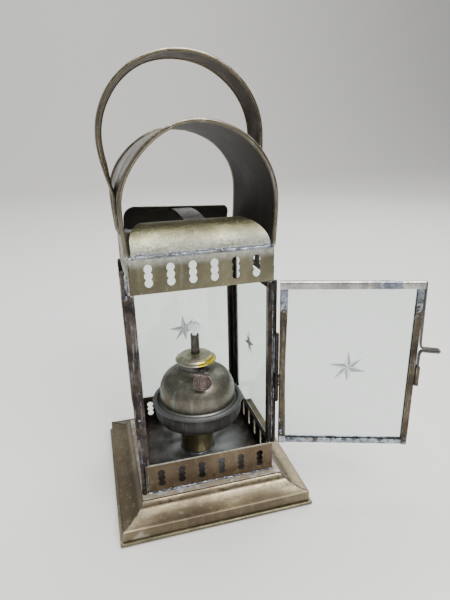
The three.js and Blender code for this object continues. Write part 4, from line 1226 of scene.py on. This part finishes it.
def winder():
    frame_matrix = spindle_frame()
    refined("winder_spindle", "steel", 0.1, "winder", smooth=60)
    refined("winder_wheel", "aged", 0.1, "winder")
    low, high = KNOB["reach"] - KNOB["thickness"] / 2, KNOB["reach"] + KNOB["thickness"] / 2
    face = [(r, high - depth) for r, depth in (
        (1.3, 0.1), (1.5, 0.0), (2.3, 0.0), (2.5, 0.35), (2.8, 0.35), (3.0, 0.05), (3.5, 0.05), (3.7, 0.45),
        (4.3, 0.5), (4.6, 0.15), (5.4, 0.1), (5.7, 0.4), (6.2, 0.4), (6.5, 0.0), (7.1, 0.0))]
    radius = KNOB["radius"]
    rim = [(radius, high - 0.35), (radius, (low + high) / 2), (radius, low + 0.35)]
    back = [(7.1, low), (4.0, low), (3.8, low + 0.3), (1.3, low + 0.3)]
    skin = Skin()
    rings = []
    per_tooth = 6
    count = KNOB["teeth"] * per_tooth
    for r, h in face + rim + back:
        ring = []
        for k in range(count):
            angle = 2 * math.pi * k / count
            tooth = 0.5 + 0.5 * math.cos(2 * math.pi * k / per_tooth)
            worn = abs(drift((angle * 2, r, 5), 1.0, 0.12)) if r > 7.4 else 0.0
            reach = r - (0.5 * tooth if r > 7.0 else 0.0) - worn
            ring.append(skin.add((reach * math.cos(angle), reach * math.sin(angle), h)))
        rings.append(ring)
    skin.grid(rings, close_rows=True, close_columns=True)
    skin.build("winder_knob_skin", "copper", "winder", ["winder_knob"], "coppery_brass", 35, frame_matrix)
    pin = Skin()
    rope(pin, (0, 0, high - 0.3), (0, 0, high + 0.45), 4, 1.25, 20, taper=0.6)
    pin.build("winder_rivet", "steel", "winder", slot="coppery_brass", smooth=50, place=frame_matrix)


def wick():
    """A woven wick down in the oil and a teased-out tuft above the tube."""
    skin = Skin()
    tuft_z, tuft_r = 132.9, 5.2
    rope(skin, LAMP + Vector((0, 0, 72)), LAMP + Vector((0, 0, 129.5)), 60, 2.15, 14, lumps=0.1, seed=1.0)
    rings = []
    rows, columns = 44, 72
    for i in range(rows + 1):
        tilt = math.pi * i / rows
        ring = []
        for k in range(columns):
            turn = 2 * math.pi * k / columns
            way = Vector((math.sin(tilt) * math.cos(turn), math.sin(tilt) * math.sin(turn), math.cos(tilt)))
            clump = noise.fractal(way * 2.1 + Vector((3, 1, 7)), 0.8, 2.2, 5)
            tease = noise.ridged_multi_fractal(way * 6.0, 1.0, 2.0, 3, 1.0, 2.0)
            r = tuft_r * (0.83 + 0.20 * clump + 0.05 * tease) * (1 - 0.10 * max(0.0, -way.z))
            ring.append(skin.add(LAMP + Vector((0, 0, tuft_z)) + way * r, soot=max(0.0, -way.z - 0.75) * 1.6))
        rings.append(ring)
    skin.tube(rings)
    draw = random.Random(5)
    for _ in range(70):
        way = Vector((draw.gauss(0, 1), draw.gauss(0, 1), abs(draw.gauss(0, 1)) - 0.25)).normalized()
        side = way.orthogonal().normalized()
        start = LAMP + Vector((0, 0, tuft_z)) + way * tuft_r * 0.72
        curl = [start + way * (tuft_r * 0.38 * t) + side * (math.sin(t * 3.1) * draw.uniform(-1.2, 1.2))
                for t in (j / 7 for j in range(8))]
        sweep_round(skin, curl, 0.14, 5, taper=0.4)
    skin.build("wick_skin", "cotton", "wick", ["wick"], "cotton_wick", 180)


# ---------------------------------------------------------------- stage, light and camera

def stage():
    """A pale floor that curves up into a backdrop, so that no horizon shows."""
    near, reach, bend, top, half, steps = -4.0, 2.2, 1.6, 4.5, 6.0, 24
    profile = [(near, 0.0), (reach, 0.0)]
    for i in range(1, steps + 1):
        angle = math.pi / 2 * i / steps
        profile.append((reach + bend * math.sin(angle), bend - bend * math.cos(angle)))
    profile.append((reach + bend, top))
    skin = []
    for y, z in profile:
        skin += [(-half, y, z - 0.0005), (half, y, z - 0.0005)]
    faces = [(2 * i, 2 * i + 1, 2 * i + 3, 2 * i + 2) for i in range(len(profile) - 1)]
    mesh = bpy.data.meshes.new("studio_sweep")
    mesh.from_pydata(skin, [], faces)
    for polygon in mesh.polygons:
        polygon.use_smooth = True
    sweep = linked("studio_sweep", mesh)
    s = Shader("pale_floor")
    s.set(Base_Color=(0.72, 0.71, 0.69), Roughness=0.6)
    mesh.materials.append(s.material)


def area_light(name, place, target, size, power, colour=(1.0, 1.0, 1.0)):
    """A soft rectangular light; places in metres, power in watts."""
    light = bpy.data.lights.new(name, "AREA")
    light.shape = "RECTANGLE"
    light.size, light.size_y = size
    light.energy = power
    light.color = colour
    thing = linked(name, light)
    thing.location = place
    thing.rotation_euler = (Vector(target) - Vector(place)).to_track_quat("-Z", "Y").to_euler()


def lights():
    world = bpy.data.worlds.new("studio")
    bpy.context.scene.world = world
    world.use_nodes = True
    background = world.node_tree.nodes["Background"]
    background.inputs[0].default_value = (0.80, 0.80, 0.82, 1.0)
    background.inputs[1].default_value = 0.42
    middle = (0.0, 0.0, 0.15)
    area_light("overhead", (0.1, 0.0, 1.5), middle, (1.2, 1.0), 25.0)
    area_light("key", (0.3, -0.85, 1.15), middle, (0.7, 0.5), 18.0, (1.0, 0.99, 0.97))
    area_light("fill", (-1.1, -0.5, 0.7), middle, (0.9, 0.9), 1.5, (0.95, 0.97, 1.0))
    area_light("rim", (0.9, 0.9, 1.0), middle, (0.6, 0.9), 6.0)
    area_light("backdrop", (0.0, 1.0, 2.6), (0.0, 3.2, 0.6), (3.0, 1.0), 70.0)


# The camera: place in millimetres, angles about Z, across and along the view, lens in millimetres.
CAMERA_PLACE = Vector((-67.23, -352.55, 285.13))
CAMERA_YAW = math.radians(-15.024)
CAMERA_PITCH = math.radians(19.887)
CAMERA_ROLL = math.radians(-1.440)
CAMERA_LENS = 28.84


def camera():
    ahead = Vector((-math.sin(CAMERA_YAW) * math.cos(CAMERA_PITCH),
                    math.cos(CAMERA_YAW) * math.cos(CAMERA_PITCH), -math.sin(CAMERA_PITCH)))
    level = Vector((math.cos(CAMERA_YAW), math.sin(CAMERA_YAW), 0))
    up = level.cross(ahead)
    right = level * math.cos(CAMERA_ROLL) + up * math.sin(CAMERA_ROLL)
    top = up * math.cos(CAMERA_ROLL) - level * math.sin(CAMERA_ROLL)
    data = bpy.data.cameras.new("camera")
    data.lens = CAMERA_LENS
    data.sensor_width = 36.0
    data.clip_start = 0.01
    thing = linked("camera", data)
    turn = Matrix((right, top, -ahead)).transposed().to_4x4()
    thing.matrix_world = Matrix.Translation(CAMERA_PLACE * MM) @ turn
    bpy.context.scene.camera = thing


base()
bands()
posts()
panes()
roof()
door()
lamp_bowl()
font()
burner()
winder()
wick()
stage()
lights()
camera()
